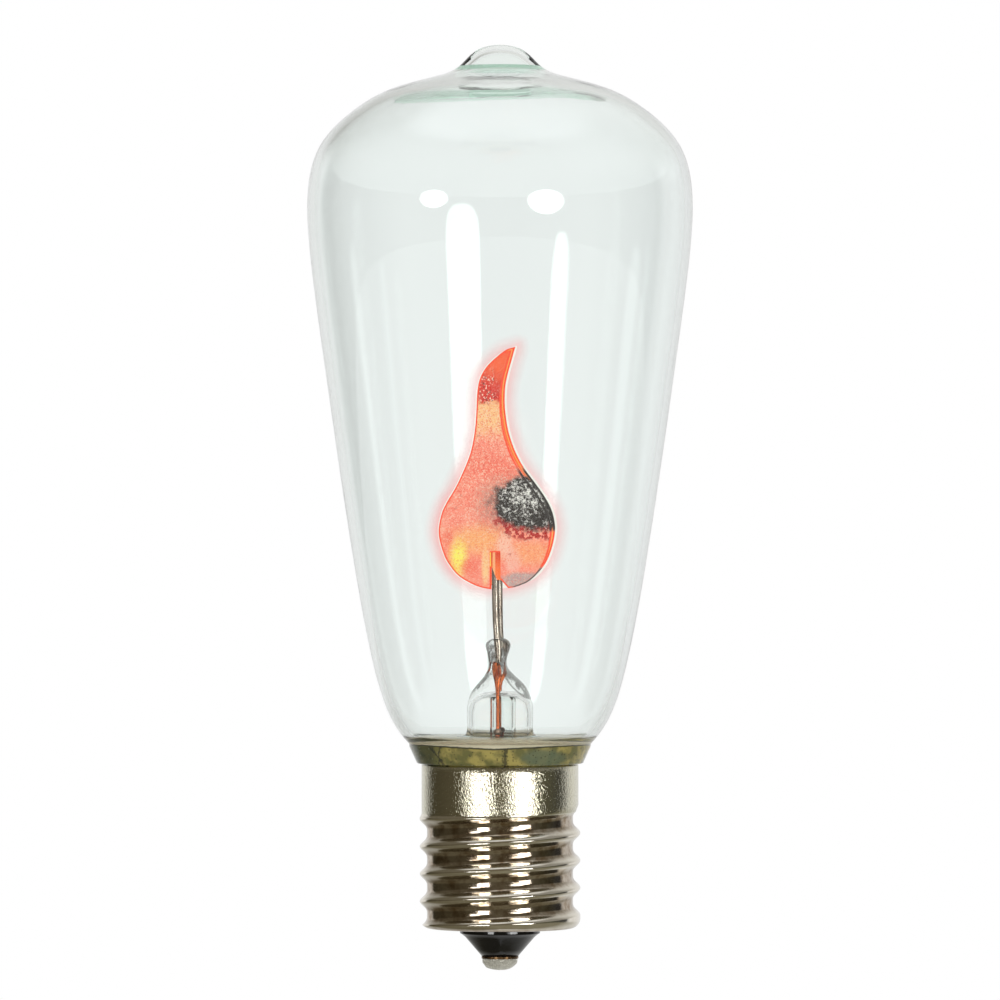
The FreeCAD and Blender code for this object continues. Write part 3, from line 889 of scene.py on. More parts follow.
@dataclass(frozen=True)
class WireMetal:
    """Drawn wire or small metal part with light wear along it."""

    name: str
    bright: Colour
    dull: Colour
    roughness: float = 0.22
    grain: float = 2.2

    def build(self) -> bpy.types.Material:
        """Make the metal with draw lines and stained places.

        Returns:
            The finish.
        """
        sheet = Sheet(self.name)
        stain = sheet.step(sheet.cloud(self.grain, 4.0, (1.0, 1.0, 0.35)), 0.4, 0.68)
        sheet.drive("Base Color", sheet.mix(stain, self.bright, self.dull))
        sheet.drive("Roughness", sheet.sum("MULTIPLY_ADD", stain, 0.2, self.roughness))
        sheet.set("Metallic", 1.0)
        sheet.relief(sheet.cloud(9.0, 2.0, (1.0, 1.0, 0.08)), 0.01, 0.6)
        return sheet.material


@dataclass(frozen=True)
class NickelPlate:
    """Bright nickel of the cap: grained skirt, polished crests, brown in the grooves."""

    bright: Colour = srgb(232, 226, 214)
    brown: Colour = srgb(130, 106, 76)
    skirt_z: float = 16.1
    groove_r: tuple[float, float] = (7.56, 8.15)

    def build(self) -> bpy.types.Material:
        """Make the plating with its grain and tarnish.

        Returns:
            The finish.
        """
        sheet = Sheet("nickel_plate")
        _, _, z = sheet.axes()
        skirt = sheet.step(z, self.skirt_z - 0.3, self.skirt_z + 0.3)
        deep = sheet.step(sheet.radius(), self.groove_r[1], self.groove_r[0])
        deep = sheet.sum("MULTIPLY", deep, sheet.sum("SUBTRACT", 1.0, skirt))
        cloudy = sheet.step(sheet.cloud(0.8, 5.0, rough=0.65), 0.35, 0.75)
        stain = sheet.sum("MULTIPLY", deep, sheet.sum("MULTIPLY_ADD", cloudy, 0.5, 0.5))
        tone = sheet.mix(sheet.sum("MULTIPLY", cloudy, 0.25), self.bright, srgb(196, 182, 158))
        tone = sheet.mix(skirt, tone, srgb(214, 210, 190))
        sheet.drive("Base Color", sheet.mix(stain, tone, self.brown))
        sheet.set("Metallic", 1.0)
        sheet.drive("Roughness", sheet.sum("MULTIPLY_ADD", cloudy, 0.05, 0.09))
        grain = sheet.cloud(5.0, 2.0, (1.0, 1.0, 0.8), 0.6)
        ripple = sheet.cloud(3.0, 2.0, (0.1, 0.1, 1.0))
        coarse = sheet.sum("MULTIPLY", grain, sheet.sum("MULTIPLY_ADD", skirt, 0.92, 0.08))
        sheet.relief(sheet.sum("MULTIPLY_ADD", ripple, 0.2, coarse), 0.052, 1.0)
        return sheet.material


@dataclass(frozen=True)
class BlackGlass:
    """Fused black glass of the insulator."""

    def build(self) -> bpy.types.Material:
        """Make the glass with its faint flow marks.

        Returns:
            The finish.
        """
        sheet = Sheet("black_glass")
        flow = sheet.cloud(0.6, 3.0, (1.0, 1.0, 2.5))
        sheet.drive("Base Color", sheet.mix(flow, srgb(4, 4, 4), srgb(16, 15, 16)))
        sheet.drive("Roughness", sheet.sum("MULTIPLY_ADD", flow, 0.08, 0.04))
        sheet.set("Specular IOR Level", 0.45)
        sheet.relief(sheet.cloud(1.1, 3.0), 0.05, 0.4)
        return sheet.material


@dataclass(frozen=True)
class BakedCement:
    """Baked basing cement, olive brown with dark green patches."""

    tan: Colour = srgb(182, 165, 88)
    olive: Colour = srgb(114, 110, 56)
    green: Colour = srgb(40, 52, 28)
    glaze: Colour = srgb(236, 226, 196)

    def build(self) -> bpy.types.Material:
        """Make the cement with its grain, patches and painted glints on its dark green left side.

        Returns:
            The finish.
        """
        sheet = Sheet("baked_cement")
        x, _, z = sheet.axes()
        broad = sheet.cloud(0.7, 4.0)
        tone = sheet.mix(sheet.step(broad, 0.4, 0.62), self.tan, self.olive)
        left = sheet.step(sheet.sum("ADD", x, sheet.sum("MULTIPLY", broad, 5.0)), -1.6, -3.6)
        tone = sheet.mix(sheet.sum("MULTIPLY", left, 0.85), tone, self.green)
        patch = sheet.spot((5.6, 22.1), (1.9, 0.85), 0.35, 0.2)
        tone = sheet.mix(sheet.sum("MULTIPLY", patch, 0.85), tone, srgb(102, 114, 86))
        drift = sheet.sum("MULTIPLY_ADD", sheet.cloud(1.1, 4.0, rough=0.7), 1.6, -0.8)
        for start, slope, wide in ((-5.9, 0.85, 0.14), (2.15, -0.1, 0.16), (-4.6, -0.2, 0.08)):
            line = sheet.sum("MULTIPLY_ADD", sheet.sum("SUBTRACT", 23.2, z), slope, start)
            line = sheet.sum("SUBTRACT", sheet.sum("SUBTRACT", x, line), drift)
            crack = sheet.step(sheet.sum("ABSOLUTE", line), wide * 1.6, wide * 0.5)
            tone = sheet.mix(sheet.sum("MULTIPLY", crack, 0.8), tone, srgb(34, 36, 20))
        speck = sheet.step(sheet.grains(2.6), 0.3, 0.12)
        tone = sheet.mix(sheet.sum("MULTIPLY", speck, 0.7), tone, srgb(30, 38, 22))
        # Painted highlight: pale glints scattered over the dark green left side.
        painted_glints = sheet.sum("MULTIPLY", left, sheet.step(sheet.grains(3.2), 0.16, 0.08))
        tone = sheet.mix(painted_glints, tone, srgb(206, 208, 178))
        slant = sheet.sum("ABSOLUTE", sheet.sum("SUBTRACT", x, 1.0))
        brim = sheet.sum("MULTIPLY_ADD", drift, 0.12, sheet.sum("MULTIPLY_ADD", slant, -0.05, z))
        tone = sheet.mix(sheet.step(brim, 22.86, 22.98), tone, srgb(52, 50, 30))
        tone = sheet.mix(sheet.step(brim, 23.04, 23.16), tone, self.glaze)
        sheet.drive("Base Color", tone)
        sheet.set("Roughness", 0.6)
        sheet.relief(sheet.cloud(3.0, 4.0, rough=0.7), 0.12)
        return sheet.material


@dataclass(frozen=True)
class SoftSolder:
    """Soft solder of the centre contact, frosted and slightly dented."""

    def build(self) -> bpy.types.Material:
        """Make the solder with its dents.

        Returns:
            The finish.
        """
        sheet = Sheet("soft_solder")
        cloudy = sheet.cloud(1.4, 4.0)
        sheet.drive("Base Color", sheet.mix(cloudy, srgb(196, 194, 180), srgb(236, 234, 224)))
        sheet.set("Metallic", 0.7)
        sheet.drive("Roughness", sheet.sum("MULTIPLY_ADD", cloudy, 0.25, 0.2))
        sheet.relief(sheet.cloud(2.6, 5.0, rough=0.7), 0.3)
        return sheet.material


@dataclass(frozen=True)
class FiredCeramic:
    """Fired ceramic rod with fine grain."""

    def build(self) -> bpy.types.Material:
        """Make the ceramic with its grain.

        Returns:
            The finish.
        """
        sheet = Sheet("fired_ceramic")
        grain = sheet.cloud(3.0, 4.0)
        sheet.drive("Base Color", sheet.mix(grain, srgb(206, 198, 176), srgb(226, 220, 200)))
        sheet.set("Roughness", 0.6)
        sheet.relief(grain, 0.03)
        return sheet.material


@dataclass
class SealedGlass:
    """Blown bulb, collar, neck and pressed stem, melted into one glass body."""

    poles: Table = (
        (9.37, 23.31), (10.85, 24.84), (12.57, 28.12), (15.14, 41.73), (17.89, 60.87),
        (19.36, 71.5), (19.78, 75.81), (19.98, 79.81), (19.13, 85.13), (14.75, 88.99),
        (11.36, 90.87), (6.44, 92.05), (3.88, 92.84), (2.46, 95.29), (0.0, 95.29))
    wall: float = 0.8
    neck_r: float = 7.5
    flare_r: float = 8.47
    flare_z: float = 23.75
    view_turn: float = 10.7
    crown_hole_r: float = 3.2
    crown_rise: float = 0.05
    stem_r: float = 3.4
    pressed_r: float = 4.3
    pressed_z: float = 24.0
    tip_z: float = 90.0
    tube_x: float = 0.29
    tube_r: float = 1.33
    tube_bore_r: float = 0.95
    tube_top_z: float = 28.35
    head_rows: Table = (
        (26.5, -3.4, 3.4, 3.4), (27.3, -3.36, 3.36, 3.39), (28.2, -3.14, 3.14, 3.33),
        (28.8, -2.85, 2.88, 3.27), (29.4, -2.38, 2.5, 3.18), (29.9, -1.92, 2.0, 3.1),
        (30.5, -1.45, 1.3, 2.98), (31.1, -1.12, 0.72, 2.88), (31.6, -1.04, 0.55, 2.78),
        (32.2, -1.1, 0.6, 2.72), (32.9, -1.26, 0.86, 2.68), (33.5, -1.42, 1.02, 2.55),
        (33.9, -1.2, 0.85, 2.35), (34.15, -0.75, 0.5, 1.95), (34.28, -0.15, 0.0, 0.6))
    bore_rows: Table = ((26.5, 2.85, 2.85), (27.5, 2.7, 2.75), (28.2, 2.1, 2.35),
                        (28.6, 1.3, 1.7), (28.78, 0.02, 0.02))

    def outer_rings(self) -> list[np.ndarray]:
        """Rings of the side that meets the air.

        Returns:
            Rings from the tip to the end of the stem's bore.
        """
        outside = clamped_spline(list(self.poles), 150)[::-1]
        low = [(9.35, 22.95), (8.62, 21.0), (8.56, 20.9), (8.42, 20.85), (self.neck_r, 20.85),
               (self.neck_r, 19.5), (self.neck_r, 18.8), (7.38, 18.3), (6.7, 18.3), (6.7, 18.8),
               (6.7, 20.85), (7.4, 21.7), (8.12, 22.4)]
        under = curve_through([(self.flare_r - 0.1, 22.85), (self.flare_r - 0.5, 23.0),
                               (4.35, 23.04), (3.18, 23.31), (2.85, 23.95), (2.85, 25.2),
                               (2.85, 26.5)], 6)
        rows = turned_rings([*outside, *raised(low), *under])
        for z, x_half, y_half in self.bore_rows[1:]:
            rows.append(ring(x_half, y_half, z))
        return rows

    def head_rings(self) -> list[np.ndarray]:
        """Rings of the stem inside the gas.

        Returns:
            Rings from the stem's top down to the flare's rim.
        """
        table = np.array(self.head_rows)
        smooth = curve_through([tuple(row) for row in table], 5)
        rows = []
        for z, left, right, depth in smooth[::-1]:
            rows.append(ring(max((right - left) / 2, 0.01), depth, z, (right + left) / 2))
        rows[0] = np.repeat(rows[0].mean(0)[None, :], AROUND, axis=0)
        top = curve_through([(self.stem_r, 26.5), (self.stem_r, 25.6), (self.stem_r, 24.7),
                             (3.685, 24.07), (4.54, 23.81), (self.flare_r - 0.9, 23.76),
                             (self.flare_r, 23.75)], 6)
        return rows + turned_rings(top[1:])

    def inner_outline(self) -> np.ndarray:
        """Inner side of the blown wall.

        Returns:
            Outline from the seal to the tip.
        """
        inner = inset_outline(clamped_spline(list(self.poles), 200), self.wall)
        inner = inner[(inner[:, 1] > self.flare_z + 0.45) & (inner[:, 0] > 0.15)]
        return np.vstack([inner, [0.0, 95.3 - self.wall]])

    def _crown(self) -> None:
        """Tilted ring of thicker glass in the crown, thickest right of the middle."""
        inner = self.inner_outline()[::-1]
        top = inner[inner[:, 1] > 86.0]
        under = ((-10.8, 89.5), (0.4, 90.05), (7.8, 90.55), (11.1, 90.7))
        over = ((-11.3, 90.8), (0.4, 90.9), (1.8, 91.0), (4.4, 91.3), (6.4, 91.8), (7.8, 91.9),
                (9.6, 91.5), (11.1, 90.8))
        rows_low, rows_high = [], []
        for r in (self.crown_hole_r, 4.0, 5.0, 6.0, 7.5, 8.5, 9.3, 10.0, 10.6, 11.0):
            row = ring(r, r, 0.0)
            turn = math.radians(self.view_turn)
            seen, away = row[:, 0].copy(), 0.5 * row[:, 1]
            row[:, 0] = seen * math.cos(turn) - away * math.sin(turn)
            row[:, 1] = seen * math.sin(turn) + away * math.cos(turn)
            roof = np.interp(np.hypot(seen, away), top[:, 0], top[:, 1]) - 0.08
            for rows, table, drop in ((rows_low, under, 0.12), (rows_high, over, 0.0)):
                made = row.copy()
                heights = np.interp(seen, [x for x, _ in table], [z for _, z in table])
                made[:, 2] = np.minimum(heights + self.crown_rise * away, roof - drop)
                rows.append(made)
        skin = Skin()
        skin.rings([*rows_low[::-1], *rows_high, rows_low[-1]], Way.IN)
        made = skin.piece("crown_ring", ThinGlass().build(), "clear_glass")
        made.visible_shadow = False

    def build(self) -> None:
        """Make the glass body and the exhaust tube in its stem."""
        skin = Skin()
        skin.rings(self.outer_rings(), Way.IN)
        skin.rings(self.head_rings() + turned_rings(self.inner_outline()), Way.IN)
        glass = skin.piece("blown_glass", ClearGlass("clear_glass").build(), "clear_glass")
        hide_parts("glass_envelope", "glass_stem")
        glass.visible_shadow = False
        tip = ClearGlass("tip_glass", tint=(0.9, 0.925, 0.91), density=0.0, index=1.1)
        for finish in (PressedGlass(), tip):
            glass.data.materials.append(finish.build())
        for face in glass.data.polygons:
            x, y, z = face.center / MM
            near = math.hypot(x, y) < self.pressed_r and z > self.pressed_z
            face.material_index = int(near) + int(near and z > self.tip_z)
        self._crown()
        self._exhaust()

    def _exhaust(self) -> None:
        """Thin tube in the stem, melted shut at its foot."""
        wide, bore, top = self.tube_r, self.tube_bore_r, self.tube_top_z
        outer = curve_through([(0.0, 15.1), (0.45, 15.28), (1.06, 16.3), (wide, 17.5),
                               (wide, 20.0), (wide, 24.0), (wide, top)], 5)
        inner = curve_through([(bore, top), (bore, 24.0), (bore, 20.0), (bore, 18.0),
                               (0.57, 16.8), (0.0, 16.5)], 5)
        rows = [row + np.array([self.tube_x, 0, 0]) for row in turned_rings([*outer, *inner])]
        skin = Skin()
        skin.rings(rows)
        tube = skin.piece("exhaust_pipe", ClearGlass("stem_glass", wave=0.01, index=1.18).build(),
                          "stem_glass")
        tube.visible_shadow = False
        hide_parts("exhaust_tube")


@dataclass
class FlamePlates:
    """Two flame-shaped plates, each lanced over its wire, and the glow close round them."""

    thickness: float = 0.25
    gap: float = 2.0
    width: float = 11.78
    height: float = 24.6
    foot_z: float = 39.26
    rear_rise: float = 0.36
    wire_x: float = -0.298
    wire_r: float = 0.365
    strap_t: float = 0.2
    strap_top_z: float = 43.05
    strap_slope: float = 2.533
    strap_foot_z: tuple[float, float] = (40.22, 41.62)
    slit_gaps: tuple[float, float] = (0.06, 0.05)
    notch_h: float = 0.96
    haze_reach: float = 1.7
    haze_y: float = 1.35
    haze_shift: float = 0.43
    left: Table = (
        (0.145, 1.0), (0.073, 0.989), (-0.004, 0.964), (-0.083, 0.925), (-0.135, 0.881),
        (-0.157, 0.827), (-0.165, 0.752), (-0.174, 0.688), (-0.192, 0.629), (-0.219, 0.57),
        (-0.266, 0.511), (-0.345, 0.431), (-0.424, 0.367), (-0.475, 0.317), (-0.503, 0.253),
        (-0.492, 0.199), (-0.447, 0.135), (-0.39, 0.091), (-0.322, 0.055), (-0.209, 0.023),
        (-0.118, 0.007), (-0.036, 0.0))
    right: Table = (
        (0.115, 0.005), (0.177, 0.01), (0.286, 0.031), (0.366, 0.064), (0.429, 0.108),
        (0.475, 0.167), (0.497, 0.229), (0.489, 0.28), (0.455, 0.33), (0.395, 0.38),
        (0.315, 0.433), (0.224, 0.491), (0.145, 0.56), (0.089, 0.636), (0.06, 0.707),
        (0.049, 0.77), (0.055, 0.835), (0.077, 0.887), (0.112, 0.946), (0.145, 1.0))

    def flank(self, table: Table) -> Outline:
        """One flank of the flame in millimetres."""
        return [(self.wire_x + x * self.width, self.foot_z + z * self.height) for x, z in table]

    def outline(self) -> np.ndarray:
        """Closed outline of a plate with its slit.

        Returns:
            Corners of the outline in millimetres.
        """
        slot_left = self.wire_x - self.wire_r - self.slit_gaps[0]
        slot_right = self.wire_x + self.wire_r + self.slit_gaps[1]
        notch_z = self.foot_z + self.notch_h
        left = self.flank(self.left)
        left[-1] = (slot_left, self.foot_z)
        slit = []
        for z in np.linspace(self.foot_z, self.strap_top_z, 14)[1:]:
            slit.append((slot_left, z))
        for z in np.linspace(self.strap_top_z, notch_z, 10):
            slit.append((slot_right, z))
        slit.append((slot_right + 0.2, notch_z))
        return np.vstack([curve_through(left, 6), slit,
                          curve_through(self.flank(self.right), 6)[:-1]])

    def rim_points(self, loop: np.ndarray) -> np.ndarray:
        """Points inside a plate, denser along its rim.

        Args:
            loop: outline of the plate.

        Returns:
            Array of points, one a row.
        """
        lows, highs = loop.min(0), loop.max(0)
        found = []
        for pitch, low, high in ((0.09, 0.05, 0.28), (0.3, 0.32, 99.0)):
            xs = np.arange(lows[0], highs[0], pitch)
            zs = np.arange(lows[1], highs[1], pitch)
            grid = np.stack(np.meshgrid(xs, zs), -1).reshape(-1, 2)
            grid = grid[inside_loop(grid, loop)]
            away = distance_to_loop(grid, loop)
            found.append(grid[(away > low) & (away < high)])
        return np.vstack(found)

    def plate(self, side: PlateSide) -> None:
        """Make one plate with its strap.

        Args:
            side: which of the two plates.
        """
        y = side.value * self.gap / 2
        rise = self.rear_rise if side is PlateSide.REAR else 0.0
        loop = self.outline()
        spots = np.vstack([loop, self.rim_points(loop)])
        edges = [(i, (i + 1) % len(loop)) for i in range(len(loop))]
        found = delaunay_2d_cdt([Vector(p) for p in spots], edges, [], 1, 1e-5)
        flat = np.array([tuple(v) for v in found[0]])
        faces = [tuple(face) for face in found[2]]
        middles = np.array([flat[list(face)].mean(0) for face in faces])
        faces = [face for face, keep in zip(faces, inside_loop(middles, loop)) if keep]
        away = distance_to_loop(flat, loop)
        skin = Skin()
        half = self.thickness / 2
        values: list[float] = []
        for depth, turn in ((-half, 1), (half, -1)):
            points = np.stack([flat[:, 0], np.full(len(flat), y + depth), flat[:, 1] + rise], 1)
            skin.triangles(points, [face[::turn] for face in faces])
            values += list(away)
        rows = []
        for depth in (-half, half):
            rows.append(np.stack([loop[:, 0], np.full(len(loop), y + depth),
                                  loop[:, 1] + rise], 1))
        skin.rings(rows, Way.IN)
        values += [0.0] * (2 * len(loop))
        self._strap(skin, side, y, rise)
        values += [-1.0] * (len(skin.points) - len(values))
        skin.values["rim"] = values
        title = side.name.lower()
        made = skin.piece(f"{title}_plate", FlameCoat(side).build(), "flame_metal", False)
        made.visible_glossy = False
        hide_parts(f"{title}_flame_plate")

    def _strap(self, skin: Skin, side: PlateSide, y: float, rise: float) -> None:
        """Half-round strap pressed out over the wire, cut aslant at its foot.

        Args:
            skin: skin that gets the strap.
            side: which of the two plates.
            y: the plate's place in depth.
            rise: how much higher the plate sits.
        """
        rows = []
        sweep = np.linspace(0, math.pi, 15)
        wide = self.wire_r + self.strap_t
        fine = self.wire_r + 0.03
        for radius, shares in ((wide, np.linspace(0, 1, 7)), (fine, np.linspace(1, 0, 7))):
            for share in shares:
                x = self.wire_x + radius * np.cos(sweep)
                foot = 39.72 + (self.wire_x + 0.45 - x) * self.strap_slope
                foot = np.clip(foot, *self.strap_foot_z)
                z = foot + (self.strap_top_z - foot) * share
                rows.append(np.stack([x, y + side.value * radius * np.sin(sweep), z + rise], 1))
        rows.append(rows[0])
        skin.rings(rows, Way.OUT, False)

    def haze(self) -> None:
        """Thin glow of the gas round the flame's outline, behind the plates."""
        loop = np.vstack([curve_through(self.flank(self.left), 6),
                          curve_through(self.flank(self.right), 6)[:-1]])
        along = np.roll(loop, -1, axis=0) - np.roll(loop, 1, axis=0)
        along /= np.linalg.norm(along, axis=1)[:, None] + 1e-9
        outward = np.stack([-along[:, 1], along[:, 0]], axis=1)
        if inside_loop(loop[60:61] + 0.2 * outward[60:61], loop)[0]:
            outward = -outward
        for _ in range(12):
            outward = (np.roll(outward, 1, axis=0) + outward + np.roll(outward, -1, axis=0)) / 3
        outward /= np.linalg.norm(outward, axis=1)[:, None]
        skin = Skin()
        rows = []
        values: list[float] = []
        for share in (-0.2, 0.0, 0.08, 0.16, 0.3, 0.5, 0.7, 0.85, 1.0):
            spots = loop + outward * share * self.haze_reach
            spots[:, 0] -= self.haze_shift * ease(-outward[:, 0], -0.3, 0.5)
            spots[:, 1] += self.rear_rise * ease(outward[:, 0], -0.5, 0.5)
            rows.append(np.stack([spots[:, 0], np.full(len(spots), self.haze_y),
                                  spots[:, 1]], 1))
            values += [max(0.0, 1.0 - max(share, 0.0)) ** 1.5] * len(spots)
        skin.rings(rows)
        skin.values["fade"] = values
        glow = skin.piece("neon_glow", NeonHaze().build(), "flame_metal")
        glow.visible_shadow = False
        glow.visible_glossy = False

    def build(self) -> None:
        """Make both plates and the glow."""
        for side in PlateSide:
            self.plate(side)
        self.haze()


@dataclass
class ScrewCap:
    """Rolled screw shell with its insulator, eyelet and solder."""

    pitch: float = 25.4 / 9
    crest_r: float = 8.28
    depth: float = 0.76
    phase_z: float = 14.05
    skirt_r: float = 8.08
    skirt_low_z: float = 16.2
    sheet_t: float = 0.3
    top_z: float = 21.15
    floor_z: float = 4.3
    corner_r: float = 1.05
    hole_r: float = 4.0
    top_fade: tuple[float, float] = (0.2, 1.5)
    end_fade: tuple[float, float] = (-7.65 * math.pi, -7.15 * math.pi)

    def wall_r(self, angle: np.ndarray, z: float) -> np.ndarray:
        """Outer radius of the shell.

        Args:
            angle: angles round the cap.
            z: height.

        Returns:
            One radius an angle.
        """
        turns = (z - self.phase_z) / self.pitch - angle / (2 * math.pi)
        below = np.floor(turns)
        across = turns - below
        along = angle + 2 * math.pi * below
        fade = 1.0 - ease(along, *self.top_fade)
        fade = fade * ease(along, *self.end_fade)
        groove = 1.0 - np.abs(np.cos(math.pi * across)) ** 4
        thread = self.crest_r - self.depth * groove * fade
        return np.minimum(thread, self._outline_r(z))

    def _outline_r(self, z: float) -> float:
        """Radius of the turned outline that bounds the thread.

        Args:
            z: height.

        Returns:
            The radius.
        """
        if z < self.floor_z + self.corner_r:
            drop = self.floor_z + self.corner_r - z
            return self.crest_r - self.corner_r + math.sqrt(max(self.corner_r ** 2 - drop ** 2, 0))
        shrink = ease(z, self.skirt_low_z - 1.1, self.skirt_low_z)
        return self.crest_r + 0.3 - shrink * (self.crest_r + 0.3 - self.skirt_r)

    def levels(self) -> list[float]:
        """Heights of the shell's rings.

        Returns:
            Heights from the shell's floor to its top.
        """
        corner = [self.floor_z + self.corner_r * (1 - math.cos(t))
                  for t in np.linspace(0, math.pi / 2, 12)]
        thread = list(np.arange(self.floor_z + self.corner_r + 0.07, self.skirt_low_z + 0.1, 0.08))
        skirt = list(np.linspace(self.skirt_low_z + 0.15, self.top_z - 0.06, 8))
        return corner + thread + skirt

    def shell(self) -> None:
        """Make the shell of thin sheet."""
        angle = np.linspace(0, 2 * math.pi, AROUND, endpoint=False)
        unit = np.stack([np.cos(angle), np.sin(angle)], axis=1)

        def row(radius: np.ndarray | float, z: float) -> np.ndarray:
            """One ring of the wall."""
            flat = unit * np.broadcast_to(radius, (AROUND,))[:, None]
            return np.column_stack([flat, np.full(AROUND, z)])

        levels = self.levels()
        rows = [row(self.hole_r, self.floor_z), row(5.5, self.floor_z)]
        rows += [row(self.wall_r(angle, z), z) for z in levels]
        rows += [row(self.skirt_r - 0.05, self.top_z), row(self.skirt_r - 0.22, self.top_z)]
        inner = self.sheet_t
        for z in levels[::-2]:
            if z > self.floor_z + 2 * inner:
                rows.append(row(self.wall_r(angle, z) - inner, z))
        rows += [row(self.crest_r - self.corner_r, self.floor_z + inner),
                 row(self.hole_r, self.floor_z + inner), row(self.hole_r, self.floor_z)]
        skin = Skin()
        skin.rings(rows)
        made = skin.piece("rolled_shell", NickelPlate().build(), "nickel_shell")
        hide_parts("screw_shell")

    def solder(self) -> None:
        """Make the dented drop of solder on the centre contact."""
        outline = curve_through([(1.82, 1.2), (1.79, 0.74), (1.35, 0.26), (0.6, 0.03), (0.0, 0.0)],
                                10)
        rows = []
        angle = np.linspace(0, 2 * math.pi, AROUND, endpoint=False)
        for r, z in outline:
            low = ease(z, 1.2, 0.5)
            dent = 0.04 * np.sin(3 * angle + 0.8) + 0.03 * np.sin(5 * angle + 6 * z)
            dent += 0.02 * np.sin(9 * angle - 4 * z)
            r = np.minimum(r * (1 - low * (0.04 + dent)), 1.82)
            rows.append(np.stack([r * np.cos(angle), r * np.sin(angle),
                                  np.full(AROUND, z)], axis=1))
        skin = Skin()
        skin.rings([ring(0.0, 0.0, 1.2)] + rows, Way.IN)
        made = skin.piece("contact_solder", SoftSolder().build(), "solder")
        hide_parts("tip_solder")

    def insulator(self) -> None:
        """Make the black glass with its rounded lip."""
        outline = [(0.8, 1.42), (1.7, 1.42), (1.9, 1.45), (2.5, 2.15), (3.6, 3.42),
                   (4.0, 3.74), (4.1, 3.78), (4.14, 3.84), (4.14, 3.89), (4.14, 3.94),
                   (4.14, 4.0), (4.14, 4.06), (4.14, 4.11), (4.14, 4.16), (4.1, 4.26),
                   (4.0, 4.29), (4.0, 4.61), (6.38, 4.61), (6.4, 5.2),
                   (3.84, 6.3), (0.8, 6.3)]
        skin = Skin()
        skin.rings(turned_rings([*outline, (0.8, 1.42)]))
        made = skin.piece("glass_insulator", BlackGlass().build(), "black_glass")
        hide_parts("base_insulator")

    def build(self) -> None:
        """Make the cap's pieces and dress the ones kept from the frame."""
        self.insulator()
        self.shell()
        self.solder()
        brass = WireMetal("eyelet_brass", srgb(120, 94, 66), srgb(58, 42, 28), 0.35)
        dress("contact_eyelet", brass.build())


@dataclass
class CementBed:
    """Basing cement seen through the collar of the glass."""

    bore_r: float = 3.7
    foot_z: float = 17.5

    def build(self) -> None:
        """Make the cement with its slightly uneven surface."""
        outline = [(self.bore_r, self.foot_z), (7.6, self.foot_z), (7.74, 17.7), (7.74, 20.45),
                   (7.6, 20.57), (7.0, 20.75), (8.2, 20.95), (8.42, 21.15), (8.6, 21.6),
                   (8.84, 22.4), (9.02, 22.95), (9.0, 23.2), (8.8, 23.5)]
        inner = [(8.35, 23.68), (4.6, 23.66), (4.35, 23.25), (3.9, 22.9), (3.5, 22.4),
                 (self.bore_r, self.foot_z)]
        skin = Skin()
        skin.rings(turned_rings(raised(outline + inner)))
        made = skin.piece("cement_bed", BakedCement().build(), "cement")
        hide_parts("basing_cement")


@dataclass
class WireWork:
    """Support wires, seal wires, leads and the resistor."""

    rear_r: float = 0.16
    rear_x: float = -0.5
    half_t: float = 0.2
    ribbon_path: Table = (
        (31.8, -0.06, -1.67, 0.02), (31.72, -0.06, -1.67, 0.2), (31.5, -0.05, -1.69, 0.38),
        (31.0, -0.02, -1.71, 0.41), (30.4, 0.03, -1.73, 0.38), (29.6, 0.08, -1.77, 0.27),
        (28.7, 0.11, -1.8, 0.2), (27.5, 0.11, -1.84, 0.175), (26.0, 0.11, -1.86, 0.175),
        (24.55, 0.11, -1.86, 0.175), (24.5, 0.11, -1.86, 0.02))

    def ribbon(self, side: PlateSide, finish: bpy.types.Material) -> None:
        """Make a seal wire, the front one flattened to a ribbon under the seal.

        Args:
            side: which of the two wires.
            finish: finish of the wire.
        """
        rear = side is PlateSide.REAR
        rows = []
        for z, x, y, r in curve_through(list(self.ribbon_path), 6)[::-1]:
            r = min(max(r, 0.01), self.rear_r if rear else 1.0)
            place = (self.rear_x if rear else 0.0, -y if rear else y, 0.0)
            rows.append(ring(r, min(r, self.half_t), z, x) + np.array(place))
        skin = Skin()
        skin.rings(rows)
        title = side.name.lower()
        made = skin.piece(f"{title}_seal_ribbon", finish, "copper_wire")
        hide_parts(f"{title}_seal_wire")

    def build(self) -> None:
        """Dress every wire and the resistor."""
        nickel = WireMetal("drawn_nickel", srgb(206, 192, 178), srgb(112, 92, 80), 0.14)
        copper = WireMetal("copper_skin", srgb(224, 118, 66), srgb(132, 56, 34), 0.18)
        bead = WireMetal("weld_bead", srgb(150, 126, 110), srgb(84, 62, 54), 0.35)
        tinned = WireMetal("tinned_cup", srgb(206, 204, 198), srgb(160, 156, 148), 0.3)
        groups = {
            nickel: ("front_support_wire", "rear_support_wire"),
            copper: ("side_lead_wire", "centre_lead_wire", "tip_lead_wire"),
            bead: ("front_weld_knot", "rear_weld_knot", "side_weld"),
            tinned: ("resistor_upper_cup", "resistor_lower_cup"),
        }
        for finish, names in groups.items():
            material = finish.build()
            for name in names:
                dress(name, material)
            if finish is copper:
                for side in PlateSide:
                    self.ribbon(side, material)
        dress("resistor_rod", FiredCeramic().build())


def raised(outline: Outline) -> Outline:
    """Outline whose collar part sits a little higher, as the photograph shows it."""
    return [(r, z + COLLAR_LIFT * float(ease(z, 17.5, 19.5) * (1 - ease(z, 21.6, 23.6))))
            for r, z in outline]


def dress(name: str, material: bpy.types.Material) -> None:
    """Give a node kept from the frame its finish.

    Args:
        name: name of the node.
        material: finish to give it.
    """
    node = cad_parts[name]
    node.data.materials.clear()
    node.data.materials.append(material)
    LOG.info("%s: dressed in %s", name, material.name)


